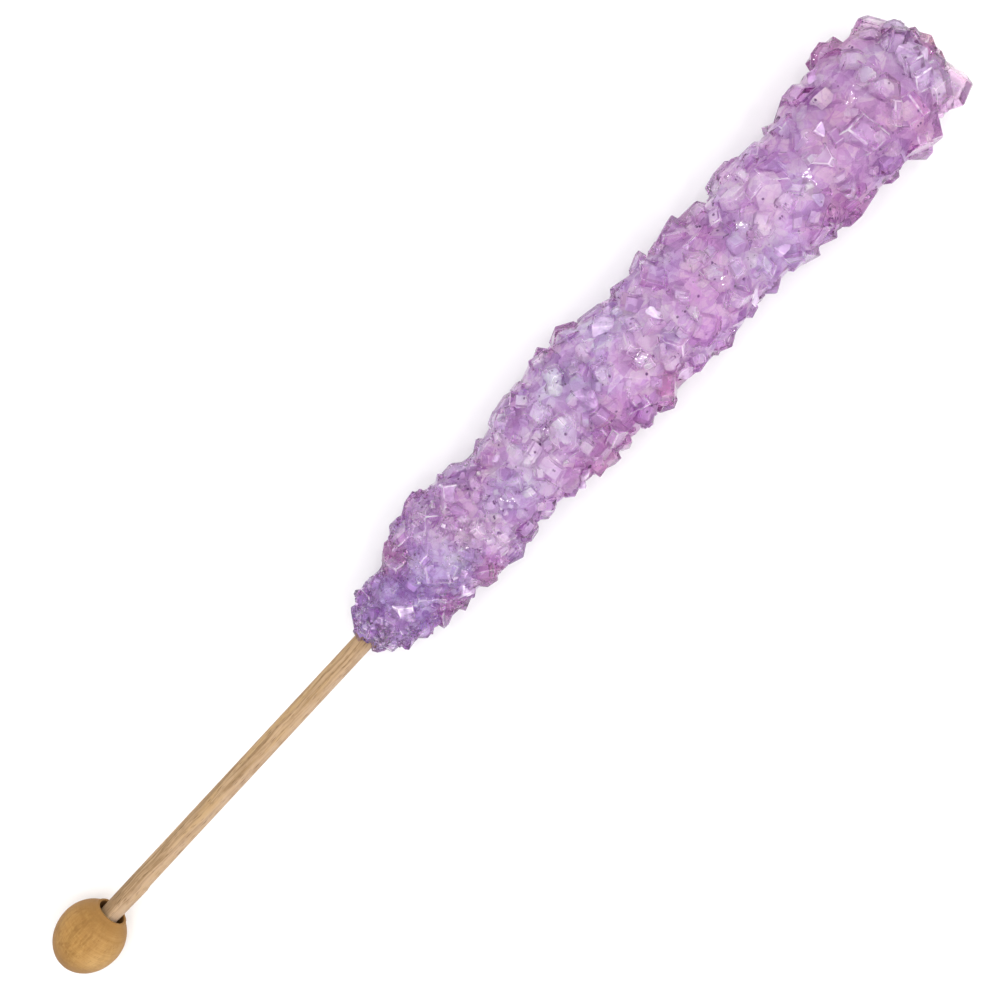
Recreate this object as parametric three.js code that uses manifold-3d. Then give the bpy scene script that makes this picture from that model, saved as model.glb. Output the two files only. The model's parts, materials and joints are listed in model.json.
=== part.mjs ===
// A rock candy stick: a wooden dowel with a drilled wooden ball at one end, and a rough rod of
// sugar crystals grown round the rest of it. It lies on its side, on the ball and on the thick end
// of the candy. Millimetres, +Z up. X runs along the stick, from the ball to the tip of the candy,
// and the origin is under the middle of the whole, on the surface it lies on.
//
// Inside the group "lying" the X axis runs through the candy, and "along" is a distance on it from
// a place in the ball, close to the ball's middle. Left is +Y and top is +Z.

import * as THREE from "three";
import { ConvexGeometry } from "three/addons/geometries/ConvexGeometry.js";
import { mergeVertices } from "three/addons/utils/BufferGeometryUtils.js";
import Module from "manifold-3d";

// ---------------------------------------------------------------- driving dimensions, mm

const BALL = {
  radius: 4.7,
  backReach: 5.7, // the ball is turned a little egg-shaped
  frontReach: 5.1, // where its front would close if it had no hole
  neckRadius: 2.6, // where its outline meets the lip
  lipRadius: 2.35,
  lipReach: 4.7, // from the ball's middle to the lip of the hole
  lipRound: 0.2,
  holeRadius: 1.95,
  holeDepth: 4.2,
  sitDeg: 15.5, // the hole's axis against the surface that the ball lies on
  gripAlong: 3.65, // where that axis crosses the dowel's
  gripReach: 3.3, // the same place, from the ball's middle
  sides: 30,
  backSteps: 8,
  frontSteps: 5,
};

const DOWEL = {
  radius: 1.38,
  start: 1.9, // inside the ball's hole
  end: 157, // inside the candy
  endChamfer: 0.25,
  sides: 24,
  swingDeg: 0.244, // against the candy, seen from above
  swingAlong: 41, // where it crosses the candy's axis
};

const BORE = {
  gap: 0.3, // between the dowel and the sugar round it
  start: 40, // well outside the heel of the candy
};

// How far the sugar reaches from the dowel's axis, at each swelling and waist.
const GIRTH = [
  { along: 58, left: 6.3, right: 5.3, top: 5.6, under: 5.6 },
  { along: 63, left: 5.6, right: 6.7, top: 6.2, under: 6.2 },
  { along: 68, left: 8.6, right: 7.4, top: 7.6, under: 6.9 },
  { along: 73, left: 9.1, right: 7.9, top: 8.2, under: 7.2 },
  { along: 83, left: 7.7, right: 7.1, top: 7.3, under: 7.0 },
  { along: 90, left: 9.1, right: 7.9, top: 8.2, under: 7.7 },
  { along: 98, left: 10.2, right: 8.4, top: 8.9, under: 8.0 },
  { along: 104, left: 9.8, right: 8.8, top: 9.1, under: 8.2 },
  { along: 110, left: 8.5, right: 8.6, top: 8.5, under: 8.4 },
  { along: 118, left: 9.3, right: 8.9, top: 8.9, under: 8.6 },
  { along: 128, left: 8.0, right: 8.4, top: 8.2, under: 8.2 },
  { along: 133, left: 9.2, right: 9.3, top: 9.0, under: 9.0 },
  { along: 140, left: 8.9, right: 9.6, top: 8.8, under: 9.3 },
  { along: 146, left: 9.5, right: 10.0, top: 9.3, under: 9.7 },
  { along: 153, left: 10.5, right: 10.7, top: 10.3, under: 10.4 },
  { along: 158, left: 9.7, right: 9.5, top: 9.4, under: 9.6 },
];

// How far the sugar is seen to reach to each side from above, at every step along.
const OUTLINE = {
  first: 55,
  step: 3,
  left: [
    2.1, 5, 5.8, 5.3, 7.5, 8.3, 8.9, 8.1, 7.6, 7.2, 7.2, 7.8, 8.8, 8.5, 9.6, 9.7, 9.8, 8.5, 8.3,
    7.8, 8, 8.8, 9.1, 8.6, 7.8, 7.8, 8.9, 8.5, 7, 8.4, 8.8, 8.7, 9.5, 10.2, 8.9, 9, 5.3,
  ],
  right: [
    2.1, 4.8, 5.5, 6.5, 6.8, 6.2, 7.4, 7.5, 7.5, 6.8, 6.2, 6.9, 7.6, 8.2, 8, 7.6, 8.2, 8.6, 8, 8.2,
    8.1, 8.8, 7.9, 8.1, 8, 7.6, 9, 8.6, 9.3, 9.2, 8.9, 9.3, 10, 10.7, 9.7, 8.9, 9.3,
  ],
  slack: 0.4, // how far a corner may stand out of it
};

const CANDY = {
  heelMiddle: 59, // middle of the round end that the bare dowel comes out of
  heelReach: 4.6,
  tipMiddle: 156, // middle of the round end at the tip
  tipReach: 8.6,
};

// The solid core that the crystals stand on.
const CORE = {
  depthShare: 0.22, // how deep it lies, as a share of the crystals' size
  leastReach: 0.6,
  inset: 0.6, // inside the seen outline
  endShare: 0.6, // how far it goes into each round end
  roughness: 0.5, // how far each corner may be moved
  rings: 24,
  sides: 12,
};

// Crystals are small at the heel, where little sugar reached, and large at the tip.
const GRAIN = [
  { along: 55, size: 2.8 },
  { along: 70, size: 3.9 },
  { along: 100, size: 4.8 },
  { along: 165, size: 6.0 },
];

// Lengths are shares of a crystal's size, and pairs are the ends of a seeded draw.
const CRYSTAL = {
  length: [0.85, 1.3],
  width: [0.6, 0.92],
  thickness: [0.39, 0.7],
  ridge: [-0.3, 0.3], // how far off centre each end's edge is, as a share of the width
  shoulder: 0.16, // least half length at the corners
  blockLeanDeg: 102.9 - 90, // sugar's crystals are leaning blocks
  chiselDeg: 39.4, // slope of the two faces that close each end
  sizes: [0.68, 1.32],
  growthDeg: [8, 82], // a crystal's long axis against straight out
  shyness: 0, // how far a crystal may stay short of the girth
  ringStep: 0.98, // from ring to ring
  turnStep: 1.28, // from crystal to crystal round a ring
  turnJitter: 0.3, // as a share of that step
  pitchJitter: 0.08, // radians
};

// Single crystals that stand out from the rest, along both edges and at the tip. leanDeg tips the
// crystal's long axis from straight out towards the tip of the stick.
const PROUD_CRYSTALS = [
  { along: 66.5, turnDeg: 5, pitchDeg: 0, reach: 8.3, size: 3.8, leanDeg: -35, spinDeg: 30 },
  { along: 72, turnDeg: 10, pitchDeg: 0, reach: 9.3, size: 4.6, leanDeg: 60, spinDeg: 70 },
  { along: 90, turnDeg: -6, pitchDeg: 0, reach: 9.3, size: 5.0, leanDeg: 30, spinDeg: 20 },
  { along: 97.5, turnDeg: 8, pitchDeg: 0, reach: 10.4, size: 6.2, leanDeg: 55, spinDeg: 80 },
  { along: 103, turnDeg: -4, pitchDeg: 0, reach: 10.2, size: 5.6, leanDeg: -20, spinDeg: 50 },
  { along: 121.5, turnDeg: 6, pitchDeg: 0, reach: 9.7, size: 6.6, leanDeg: 75, spinDeg: 85 },
  { along: 132.5, turnDeg: 10, pitchDeg: 0, reach: 9.5, size: 6.4, leanDeg: 40, spinDeg: 15 },
  { along: 145, turnDeg: -3, pitchDeg: 0, reach: 9.6, size: 6.4, leanDeg: 65, spinDeg: 35 },
  { along: 153, turnDeg: 5, pitchDeg: 0, reach: 10.8, size: 6.6, leanDeg: 50, spinDeg: 60 },
  { along: 156, turnDeg: 8, pitchDeg: 26, reach: 10.4, size: 6.8, leanDeg: 35, spinDeg: 75 },
  { along: 134, turnDeg: 72, pitchDeg: 0, reach: 9.6, size: 6.6, leanDeg: 70, spinDeg: 5 },
  { along: 67.5, turnDeg: 178, pitchDeg: 0, reach: 7.5, size: 3.8, leanDeg: 20, spinDeg: 80 },
  { along: 77, turnDeg: 184, pitchDeg: 0, reach: 8.0, size: 5.0, leanDeg: 30, spinDeg: 65 },
  { along: 94, turnDeg: 181, pitchDeg: 0, reach: 8.4, size: 5.2, leanDeg: 70, spinDeg: 75 },
  { along: 105.5, turnDeg: 176, pitchDeg: 0, reach: 9.3, size: 5.8, leanDeg: -25, spinDeg: 55 },
  { along: 117, turnDeg: 183, pitchDeg: 0, reach: 9.2, size: 5.4, leanDeg: 65, spinDeg: 10 },
  { along: 131.5, turnDeg: 184, pitchDeg: 0, reach: 9.3, size: 6.0, leanDeg: 60, spinDeg: 85 },
  { along: 139.5, turnDeg: 178, pitchDeg: 0, reach: 9.8, size: 6.0, leanDeg: 45, spinDeg: 40 },
  { along: 153.5, turnDeg: 182, pitchDeg: 0, reach: 11.0, size: 6.4, leanDeg: -40, spinDeg: 25 },
  { along: 155.5, turnDeg: 178, pitchDeg: 42, reach: 12.0, size: 6.6, leanDeg: 20, spinDeg: 20 },
  { along: 153, turnDeg: 262, pitchDeg: 0, reach: 10.8, size: 6.4, leanDeg: 90, spinDeg: 0 },
  { along: 150, turnDeg: 284, pitchDeg: 0, reach: 11.2, size: 6.0, leanDeg: 90, spinDeg: 0 },
];

const FLOOR = {
  contactAlong: 153, // where the candy touches down
  bite: 0.4, // depth of the flat that it rests on
  cutLength: 400,
  cutWidth: 80,
  cutDepth: 20,
};

const SEED = 20236;
const DRAWS = { factor: 1664525, step: 1013904223, span: 2 ** 32 };
const MERGE = 1e-4; // corners closer than this are one

const COLORS = { ball: 0xb98d57, dowel: 0xc9a178, candy: 0xb98fc9 };

// ---------------------------------------------------------------- small helpers

const radians = THREE.MathUtils.degToRad;

/** A seeded source of draws, each between low and high. */
function seededDraws(seed) {
  let state = seed;
  return (low, high) => {
    state = (state * DRAWS.factor + DRAWS.step) % DRAWS.span;
    return low + (high - low) * (state / DRAWS.span);
  };
}

/** A value read between the rows of a table that is sorted by "along", eased from row to row. */
function between(rows, along, key) {
  if (along <= rows[0].along) return rows[0][key];
  const next = rows.findIndex((row) => row.along > along);
  if (next < 0) return rows[rows.length - 1][key];
  const share = (along - rows[next - 1].along) / (rows[next].along - rows[next - 1].along);
  const eased = share * share * (3 - 2 * share);
  return THREE.MathUtils.lerp(rows[next - 1][key], rows[next][key], eased);
}

/** How far the sugar reaches from the axis, at a turn from the left side towards the top. */
function girthAt(along, turn) {
  const side = between(GIRTH, along, Math.cos(turn) > 0 ? "left" : "right");
  const upright = between(GIRTH, along, Math.sin(turn) > 0 ? "top" : "under");
  return side * Math.cos(turn) ** 2 + upright * Math.sin(turn) ** 2;
}

const outward = (turn) => new THREE.Vector3(0, Math.cos(turn), Math.sin(turn));

// ---------------------------------------------------------------- joining and cutting

const wasm = await Module();
wasm.setup();

/** A closed geometry as a solid that can be joined and cut. */
function solidFrom(geometry) {
  const bare = geometry.clone().deleteAttribute("normal").deleteAttribute("uv");
  const merged = mergeVertices(bare, MERGE);
  return new wasm.Manifold(
    new wasm.Mesh({
      numProp: 3,
      vertProperties: merged.attributes.position.array,
      triVerts: new Uint32Array(merged.index.array),
    }),
  );
}

/** A solid as a flat-shaded geometry. */
function geometryFrom(solid) {
  const mesh = solid.getMesh();
  const indexed = new THREE.BufferGeometry();
  indexed.setAttribute("position", new THREE.BufferAttribute(mesh.vertProperties, 3));
  indexed.setIndex(new THREE.BufferAttribute(mesh.triVerts, 1));
  const flat = indexed.toNonIndexed();
  flat.computeVertexNormals();
  return flat;
}

/** The largest piece of a solid, with no sealed hollow inside it and no loose scrap beside it. */
function largestPiece(solid) {
  return solid.decompose().reduce((best, piece) => (piece.volume() > best.volume() ? piece : best));
}

/** A closed round solid along X, from [along, radius] pairs that start and end on the axis. */
function turned(outline, sides) {
  const profile = outline.map(([along, radius]) => new THREE.Vector2(radius, along));
  return new THREE.LatheGeometry(profile, sides).rotateZ(-Math.PI / 2).rotateX(Math.PI / 2);
}

// ---------------------------------------------------------------- the wooden parts

/** The ball, with its lip and its blind hole, on its own middle. */
function ballGeometry() {
  const { radius, lipReach, lipRadius, lipRound, holeRadius, holeDepth } = BALL;
  const neckStart = Math.acos(BALL.neckRadius / radius);
  const outline = [[-BALL.backReach, 0]];
  for (let i = 1; i <= BALL.backSteps; i++) {
    const angle = THREE.MathUtils.lerp(-Math.PI / 2, 0, i / BALL.backSteps);
    outline.push([BALL.backReach * Math.sin(angle), radius * Math.cos(angle)]);
  }
  for (let i = 1; i <= BALL.frontSteps; i++) {
    const angle = THREE.MathUtils.lerp(0, neckStart, i / BALL.frontSteps);
    outline.push([BALL.frontReach * Math.sin(angle), radius * Math.cos(angle)]);
  }
  outline.push(
    [lipReach - lipRound, lipRadius + lipRound / 2],
    [lipReach, lipRadius],
    [lipReach - lipRound, holeRadius],
    [lipReach - holeDepth, holeRadius],
    [lipReach - holeDepth, 0],
  );
  return turned(outline, BALL.sides);
}

/** The dowel, with both end edges taken off. */
function dowelGeometry() {
  const { radius, start, end, endChamfer, sides } = DOWEL;
  return turned(
    [
      [start, 0],
      [start, radius - endChamfer],
      [start + endChamfer, radius],
      [end - endChamfer, radius],
      [end, radius - endChamfer],
      [end, 0],
    ],
    sides,
  );
}

// ---------------------------------------------------------------- the sugar

/** A sugar crystal on its own middle: a leaning block, long along Y, with a chisel at each end. */
function crystalGeometry({ length, width, thickness, ridge }) {
  const points = [];
  const lean = Math.tan(radians(CRYSTAL.blockLeanDeg)) * (thickness / 2);
  const edge = ridge * width;
  for (const face of [-1, 1]) {
    const middle = face * lean;
    const z = face * (thickness / 2);
    for (const x of [middle - width / 2, middle + edge, middle + width / 2]) {
      const drop = Math.abs(x - middle - edge) * Math.tan(radians(CRYSTAL.chiselDeg));
      const reach = Math.max(length / 2 - drop, length * CRYSTAL.shoulder);
      points.push(new THREE.Vector3(x, reach, z), new THREE.Vector3(x, -reach, z));
    }
  }
  return new ConvexGeometry(points);
}

/** A value of the seen outline, between its steps. */
function seenReach(side, along) {
  const place = THREE.MathUtils.clamp((along - OUTLINE.first) / OUTLINE.step, 0, side.length - 1);
  const step = Math.min(Math.floor(place), side.length - 2);
  return THREE.MathUtils.lerp(side[step], side[step + 1], place - step) + OUTLINE.slack;
}

/** How far sideways a crystal has to move for its corners to stay inside the seen outline. */
function sideStep(corners, middle) {
  const corner = new THREE.Vector3();
  let left = 0;
  let right = 0;
  for (let i = 0; i < corners.count; i++) {
    corner.fromBufferAttribute(corners, i).add(middle);
    left = Math.max(left, corner.y - seenReach(OUTLINE.left, corner.x));
    right = Math.max(right, -corner.y - seenReach(OUTLINE.right, corner.x));
  }
  return right - left;
}

/**
 * A crystal whose middle is moved so that its farthest corner is "reach" from "root", and then
 * sideways to inside the seen outline.
 */
function crystalSolid({ root, direction, reach, growth, spin, shape }) {
  const turn = new THREE.Quaternion()
    .setFromUnitVectors(new THREE.Vector3(0, 1, 0), growth)
    .multiply(new THREE.Quaternion().setFromAxisAngle(new THREE.Vector3(0, 1, 0), spin));
  const geometry = crystalGeometry(shape).applyQuaternion(turn);
  const corners = geometry.getAttribute("position");
  const corner = new THREE.Vector3();
  let farthest = 0;
  for (let i = 0; i < corners.count; i++) {
    farthest = Math.max(farthest, corner.fromBufferAttribute(corners, i).dot(direction));
  }
  const middle = root.clone().addScaledVector(direction, reach - farthest);
  middle.y += sideStep(corners, middle);
  return solidFrom(geometry.translate(middle.x, middle.y, middle.z));
}

/** The proportions of a crystal of a given size. */
function drawnShape(draw, size) {
  return {
    length: size * draw(...CRYSTAL.length),
    width: size * draw(...CRYSTAL.width),
    thickness: size * draw(...CRYSTAL.thickness),
    ridge: draw(...CRYSTAL.ridge),
  };
}

/** The way a proud crystal grows: outward, leaning over towards the tip of the stick. */
function setGrowth(direction, lean) {
  const axle = direction.clone().cross(new THREE.Vector3(1, 0, 0)).normalize();
  return direction.clone().applyAxisAngle(axle, lean);
}

/** The way a crystal grows: outward, leaning over by a drawn angle to a drawn side. */
function drawnGrowth(draw, direction) {
  const lean = radians(draw(...CRYSTAL.growthDeg));
  const side = draw(0, 2 * Math.PI);
  const across = new THREE.Vector3(1, 0, 0).cross(direction).normalize();
  across.applyAxisAngle(direction, side);
  return direction.clone().multiplyScalar(Math.cos(lean)).addScaledVector(across, Math.sin(lean));
}

/** The places of one ring of crystals, spaced by their size. */
function ringPlaces(draw, { along, pitch, reachAt, size }) {
  const girth = 2 * Math.PI * reachAt(0) * Math.cos(pitch);
  const count = Math.max(1, Math.round(girth / (size * CRYSTAL.turnStep)));
  const first = draw(0, 2 * Math.PI);
  const places = [];
  for (let i = 0; i < count; i++) {
    const jitter = draw(-CRYSTAL.turnJitter, CRYSTAL.turnJitter);
    const turn = first + ((i + jitter) / count) * 2 * Math.PI;
    const tipped = pitch + draw(-CRYSTAL.pitchJitter, CRYSTAL.pitchJitter);
    places.push({ along, turn, pitch: tipped, reach: reachAt(turn), size });
  }
  return places;
}

/** The places of all crystals: rings along the body, and rings over both round ends. */
function crystalPlaces(draw) {
  const rings = [];
  let along = CANDY.heelMiddle;
  while (along < CANDY.tipMiddle) {
    const here = along;
    const size = between(GRAIN, here, "size");
    rings.push({ along: here, pitch: 0, reachAt: (turn) => girthAt(here, turn), size });
    along += size * CRYSTAL.ringStep;
  }
  for (const [middle, endReach, way] of [
    [CANDY.heelMiddle, CANDY.heelReach, -1],
    [CANDY.tipMiddle, CANDY.tipReach, 1],
  ]) {
    const size = between(GRAIN, middle, "size");
    const steps = Math.round((Math.PI * girthAt(middle, 0)) / (2 * size * CRYSTAL.ringStep));
    for (let i = 1; i <= steps; i++) {
      const pitch = ((i / steps) * Math.PI) / 2;
      const sideShare = Math.cos(pitch) ** 2;
      const reachAt = (turn) => girthAt(middle, turn) * sideShare + endReach * (1 - sideShare);
      rings.push({ along: middle, pitch: way * pitch, reachAt, size });
    }
  }
  return rings.flatMap((ring) => ringPlaces(draw, ring));
}

/** A closed geometry whose corners are each moved a little, so that it looks broken, not round. */
function roughened(geometry, draw) {
  const rough = mergeVertices(geometry.deleteAttribute("normal").deleteAttribute("uv"), MERGE);
  const corners = rough.getAttribute("position");
  const nudge = () => draw(-CORE.roughness, CORE.roughness);
  for (let i = 0; i < corners.count; i++) {
    corners.setXYZ(i, corners.getX(i) + nudge(), corners.getY(i) + nudge(), corners.getZ(i) + nudge());
  }
  return rough;
}

/** The solid core, a little inside the girth all along, with round ends. */
function coreGeometry(draw) {
  const heelReach = CANDY.heelReach * CORE.endShare;
  const tipReach = CANDY.tipReach * CORE.endShare;
  const first = CANDY.heelMiddle - heelReach;
  const last = CANDY.tipMiddle + tipReach;
  const outline = [];
  for (let i = 0; i <= CORE.rings; i++) {
    const along = THREE.MathUtils.lerp(first, last, i / CORE.rings);
    outline.push([along, i === 0 || i === CORE.rings ? 0 : 1]);
  }
  const geometry = turned(outline, CORE.sides);
  const corners = geometry.getAttribute("position");
  for (let i = 0; i < corners.count; i++) {
    const along = corners.getX(i);
    const turn = Math.atan2(corners.getZ(i), corners.getY(i));
    const heel = THREE.MathUtils.clamp((CANDY.heelMiddle - along) / heelReach, 0, 1);
    const tip = THREE.MathUtils.clamp((along - CANDY.tipMiddle) / tipReach, 0, 1);
    const rounding = Math.sqrt(1 - Math.max(heel, tip) ** 2);
    const depth = between(GRAIN, along, "size") * CORE.depthShare;
    const share = Math.hypot(corners.getY(i), corners.getZ(i));
    const reach = Math.max(girthAt(along, turn) * rounding - depth, CORE.leastReach) * share;
    const left = seenReach(OUTLINE.left, along) - CORE.inset;
    const right = seenReach(OUTLINE.right, along) - CORE.inset;
    const across = THREE.MathUtils.clamp(reach * Math.cos(turn), -right, left);
    corners.setXYZ(i, along, across, reach * Math.sin(turn));
  }
  return roughened(geometry, draw);
}

/** A crystal at its place. Its lean and spin are drawn where the place doesn't give them. */
function placedCrystal(draw, { along, turn, pitch, reach, size, lean, spin }) {
  const direction = outward(turn).multiplyScalar(Math.cos(pitch)).setX(Math.sin(pitch));
  return crystalSolid({
    root: new THREE.Vector3(along, 0, 0),
    direction,
    reach,
    growth: lean === undefined ? drawnGrowth(draw, direction) : setGrowth(direction, lean),
    spin: spin ?? draw(0, Math.PI),
    shape: drawnShape(draw, size),
  });
}

/** The crystals that cover the core, and the proud ones among them. */
function crystalSolids(draw) {
  const covering = crystalPlaces(draw).map((place) => {
    const size = place.size * draw(...CRYSTAL.sizes);
    const reach = place.reach * (1 - CRYSTAL.shyness * draw(0, 1) ** 2);
    return placedCrystal(draw, { ...place, size, reach });
  });
  const proud = PROUD_CRYSTALS.map(({ turnDeg, pitchDeg, leanDeg, spinDeg, ...place }) =>
    placedCrystal(draw, {
      ...place,
      turn: radians(turnDeg),
      pitch: radians(pitchDeg),
      lean: radians(leanDeg),
      spin: radians(spinDeg),
    }),
  );
  return [...covering, ...proud];
}

/** The way for the dowel, from outside the heel to just past the dowel's end. */
function boreGeometry(wooden) {
  const end = DOWEL.end + BORE.gap;
  const radius = DOWEL.radius + BORE.gap;
  const outline = [
    [BORE.start, 0],
    [BORE.start, radius],
    [end, radius],
    [end, 0],
  ];
  return turned(outline, DOWEL.sides).translate(-DOWEL.swingAlong, 0, 0).applyMatrix4(wooden.matrix);
}

/** Every crystal joined to the core, bored for the dowel and cut flat where it touches down. */
function candyGeometry(lying, wooden) {
  const draw = seededDraws(SEED);
  const core = solidFrom(coreGeometry(draw));
  const grown = largestPiece(wasm.Manifold.union([core, ...crystalSolids(draw)]));
  const belowFloor = new THREE.BoxGeometry(FLOOR.cutLength, FLOOR.cutWidth, FLOOR.cutDepth)
    .translate(FLOOR.contactAlong, 0, -FLOOR.cutDepth / 2)
    .applyMatrix4(lying.matrixWorld.clone().invert());
  return geometryFrom(
    largestPiece(grown.subtract(solidFrom(boreGeometry(wooden))).subtract(solidFrom(belowFloor))),
  );
}

// ---------------------------------------------------------------- the whole

const wood = (color) => new THREE.MeshStandardMaterial({ color, roughness: 0.62, metalness: 0 });
const sugar = new THREE.MeshStandardMaterial({
  color: COLORS.candy,
  roughness: 0.18,
  metalness: 0,
  flatShading: true,
});

function named(name, geometry, material) {
  const mesh = new THREE.Mesh(geometry, material);
  mesh.name = name;
  return mesh;
}

/** The dowel with the ball on its end, swung a little about its crossing with the candy's axis. */
function woodenParts(tilt) {
  const lean = radians(BALL.sitDeg) - tilt;
  const ballSeat = new THREE.Group();
  ballSeat.position.x = BALL.gripAlong - DOWEL.swingAlong;
  ballSeat.rotation.y = -lean;
  const ball = named("ball", ballGeometry(), wood(COLORS.ball));
  ball.position.x = -BALL.gripReach;
  ballSeat.add(ball);

  const dowel = named("dowel", dowelGeometry(), wood(COLORS.dowel));
  dowel.position.x = -DOWEL.swingAlong;

  const wooden = new THREE.Group();
  wooden.position.x = DOWEL.swingAlong;
  wooden.rotation.z = radians(DOWEL.swingDeg);
  wooden.add(ballSeat, dowel);
  wooden.updateMatrix();
  return wooden;
}

/** The whole stick, tipped so that the ball and the thick end of the candy both touch Z = 0. */
function rockCandyStick() {
  const sit = radians(BALL.sitDeg);
  const ballHeight = Math.hypot(BALL.backReach * Math.sin(sit), BALL.radius * Math.cos(sit));
  const gripHeight = ballHeight + BALL.gripReach * Math.sin(sit);
  const touchDown = between(GIRTH, FLOOR.contactAlong, "under") - FLOOR.bite;
  const tilt = Math.atan((touchDown - gripHeight) / (FLOOR.contactAlong - BALL.gripAlong));

  const lying = new THREE.Group();
  lying.rotation.y = -tilt;
  lying.position.z = gripHeight - BALL.gripAlong * Math.sin(tilt);
  lying.updateMatrixWorld(true);
  const wooden = woodenParts(tilt);
  lying.add(wooden);
  lying.add(named("candy", candyGeometry(lying, wooden), sugar));

  const whole = new THREE.Group();
  whole.add(lying);
  whole.updateMatrixWorld(true);
  const box = new THREE.Box3().setFromObject(whole, true);
  const middle = box.getCenter(new THREE.Vector3());
  lying.position.x -= middle.x;
  lying.position.y -= middle.y;
  return whole;
}

export default rockCandyStick();
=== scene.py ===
"""A rock candy stick: a turned wooden ball and a dowel, with a rod of sugar crystals grown on it.

The stick lies on its side. The classes below work out their shapes in millimetres on an axis through
the candy: "along" is a distance on it from a place close to the ball's middle, left is +Y and up is
+Z. Lay turns them into the frame's own metres.
"""

import json
import logging
import math
from dataclasses import dataclass, field
from enum import Enum
from typing import Any, Callable, Iterator, Sequence

import bpy
import numpy as np
from mathutils import Matrix, Quaternion, Vector

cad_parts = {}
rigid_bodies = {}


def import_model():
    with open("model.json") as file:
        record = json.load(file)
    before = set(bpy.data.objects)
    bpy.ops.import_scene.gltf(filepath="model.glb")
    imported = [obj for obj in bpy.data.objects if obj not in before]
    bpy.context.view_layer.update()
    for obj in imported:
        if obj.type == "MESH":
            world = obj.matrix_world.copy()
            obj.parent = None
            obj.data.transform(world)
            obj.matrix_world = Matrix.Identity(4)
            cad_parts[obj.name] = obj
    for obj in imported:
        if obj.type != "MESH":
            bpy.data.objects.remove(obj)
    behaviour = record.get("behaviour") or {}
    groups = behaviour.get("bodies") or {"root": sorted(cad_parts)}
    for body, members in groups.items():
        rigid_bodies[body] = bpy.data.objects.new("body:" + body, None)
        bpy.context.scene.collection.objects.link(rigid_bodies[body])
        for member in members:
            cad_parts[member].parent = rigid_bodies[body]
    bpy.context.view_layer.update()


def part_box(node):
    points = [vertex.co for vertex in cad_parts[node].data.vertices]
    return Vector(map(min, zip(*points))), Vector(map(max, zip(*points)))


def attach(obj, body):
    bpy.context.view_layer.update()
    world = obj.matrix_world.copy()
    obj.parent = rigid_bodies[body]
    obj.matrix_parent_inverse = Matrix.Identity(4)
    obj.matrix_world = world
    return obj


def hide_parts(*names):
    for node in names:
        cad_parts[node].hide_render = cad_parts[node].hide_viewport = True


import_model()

LOG = logging.getLogger("rock_candy")
MM = 0.001
ROOT = "root"

Color = tuple[float, float, float]
Triple = tuple[float, float, float]
Span = tuple[float, float]
Stops = Sequence[tuple[float, Color]]


class Slot(Enum):
    """The record's material slots."""

    BALL_WOOD = "ball_wood"
    DOWEL_WOOD = "dowel_wood"
    PURPLE_SUGAR = "purple_sugar"


class Part(Enum):
    """The parts of a mesh that can be picked: their name on the mesh, and the mode that selects them."""

    EDGES = ("edges", "EDGE")
    FACES = ("polygons", "FACE")


class Domain(Enum):
    """What has a number each when looks are noted on a mesh."""

    POINT = "POINT"
    FACE = "FACE"


class Look(Enum):
    """What is noted on a mesh for its finish to read."""

    TURNED = "turned"  # how far along the lathe a point was, in millimetres
    # The hole's mask: the turned wood's finish paints shade where it is 1.
    HOLLOW = "hollow"  # 1 inside the drilled hole
    TONE = "tone"  # how light a face is
    MILK = "milk"  # how cloudy a crystal is
    # Where the sugar's finish paints a highlight, in whiter cloudy sugar, on a bevelled edge.
    CREST = "crest"  # how bright a bevelled edge is
    DYE = "dye"  # how much more dye than elsewhere a crystal holds, or less below 0


class Tree(Enum):
    """What a node tree is for: the type of its output node, and the coordinates that it reads."""

    MATERIAL = ("ShaderNodeOutputMaterial", "Object")
    WORLD = ("ShaderNodeOutputWorld", "Generated")


class Blend(Enum):
    """The ways of mixing two colours."""

    MIX = "MIX"
    MULTIPLY = "MULTIPLY"


@dataclass(frozen=True)
class Pattern:
    """A noise on an object: its waves in a metre each way, its finer layers and its shift."""

    pitch: Triple
    detail: float = 2.0
    roughness: float = 0.5
    shift: Triple = (0, 0, 0)


# ------------------------------------------------------------------------------------------------
# Shader graphs
# ------------------------------------------------------------------------------------------------


class Value:
    """A number socket of a shader graph that can stand in an arithmetic expression."""

    def __init__(self, graph: "Graph", socket: bpy.types.NodeSocket) -> None:
        """Keep the graph and the socket.

        Args:
            graph: The graph that the socket belongs to.
            socket: An output socket that carries a number.
        """
        self.graph = graph
        self.socket = socket

    def math(self, operation: str, *others: Any, clamp: bool = False) -> "Value":
        """Add a Math node that starts with this value.

        Args:
            operation: The node's operation.
            others: The numbers or values that follow this one.
            clamp: Whether the result is kept between 0 and 1.

        Returns:
            The node's result.
        """
        return self.graph.math(operation, self, *others, clamp=clamp)

    def __add__(self, other: Any) -> "Value":
        """Sum."""
        return self.math("ADD", other)

    __radd__ = __add__

    def __sub__(self, other: Any) -> "Value":
        """Difference."""
        return self.math("SUBTRACT", other)

    def __rsub__(self, other: Any) -> "Value":
        """Reflected difference."""
        return self.graph.math("SUBTRACT", other, self)

    def __mul__(self, other: Any) -> "Value":
        """Product."""
        return self.math("MULTIPLY", other)

    __rmul__ = __mul__

    def clamped(self) -> "Value":
        """The value kept between 0 and 1."""
        return self.math("ADD", 0.0, clamp=True)

    def eased(self, low: float, high: float) -> "Value":
        """Ease from 0 to 1 while the value goes from low to high.

        Args:
            low: Where the result leaves 0.
            high: Where the result reaches 1.

        Returns:
            The eased value.
        """
        node = self.graph.node(
            "ShaderNodeMapRange",
            {"interpolation_type": "SMOOTHSTEP"},
            {"Value": self, "From Min": low, "From Max": high},
        )
        return Value(self.graph, node.outputs["Result"])


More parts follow.
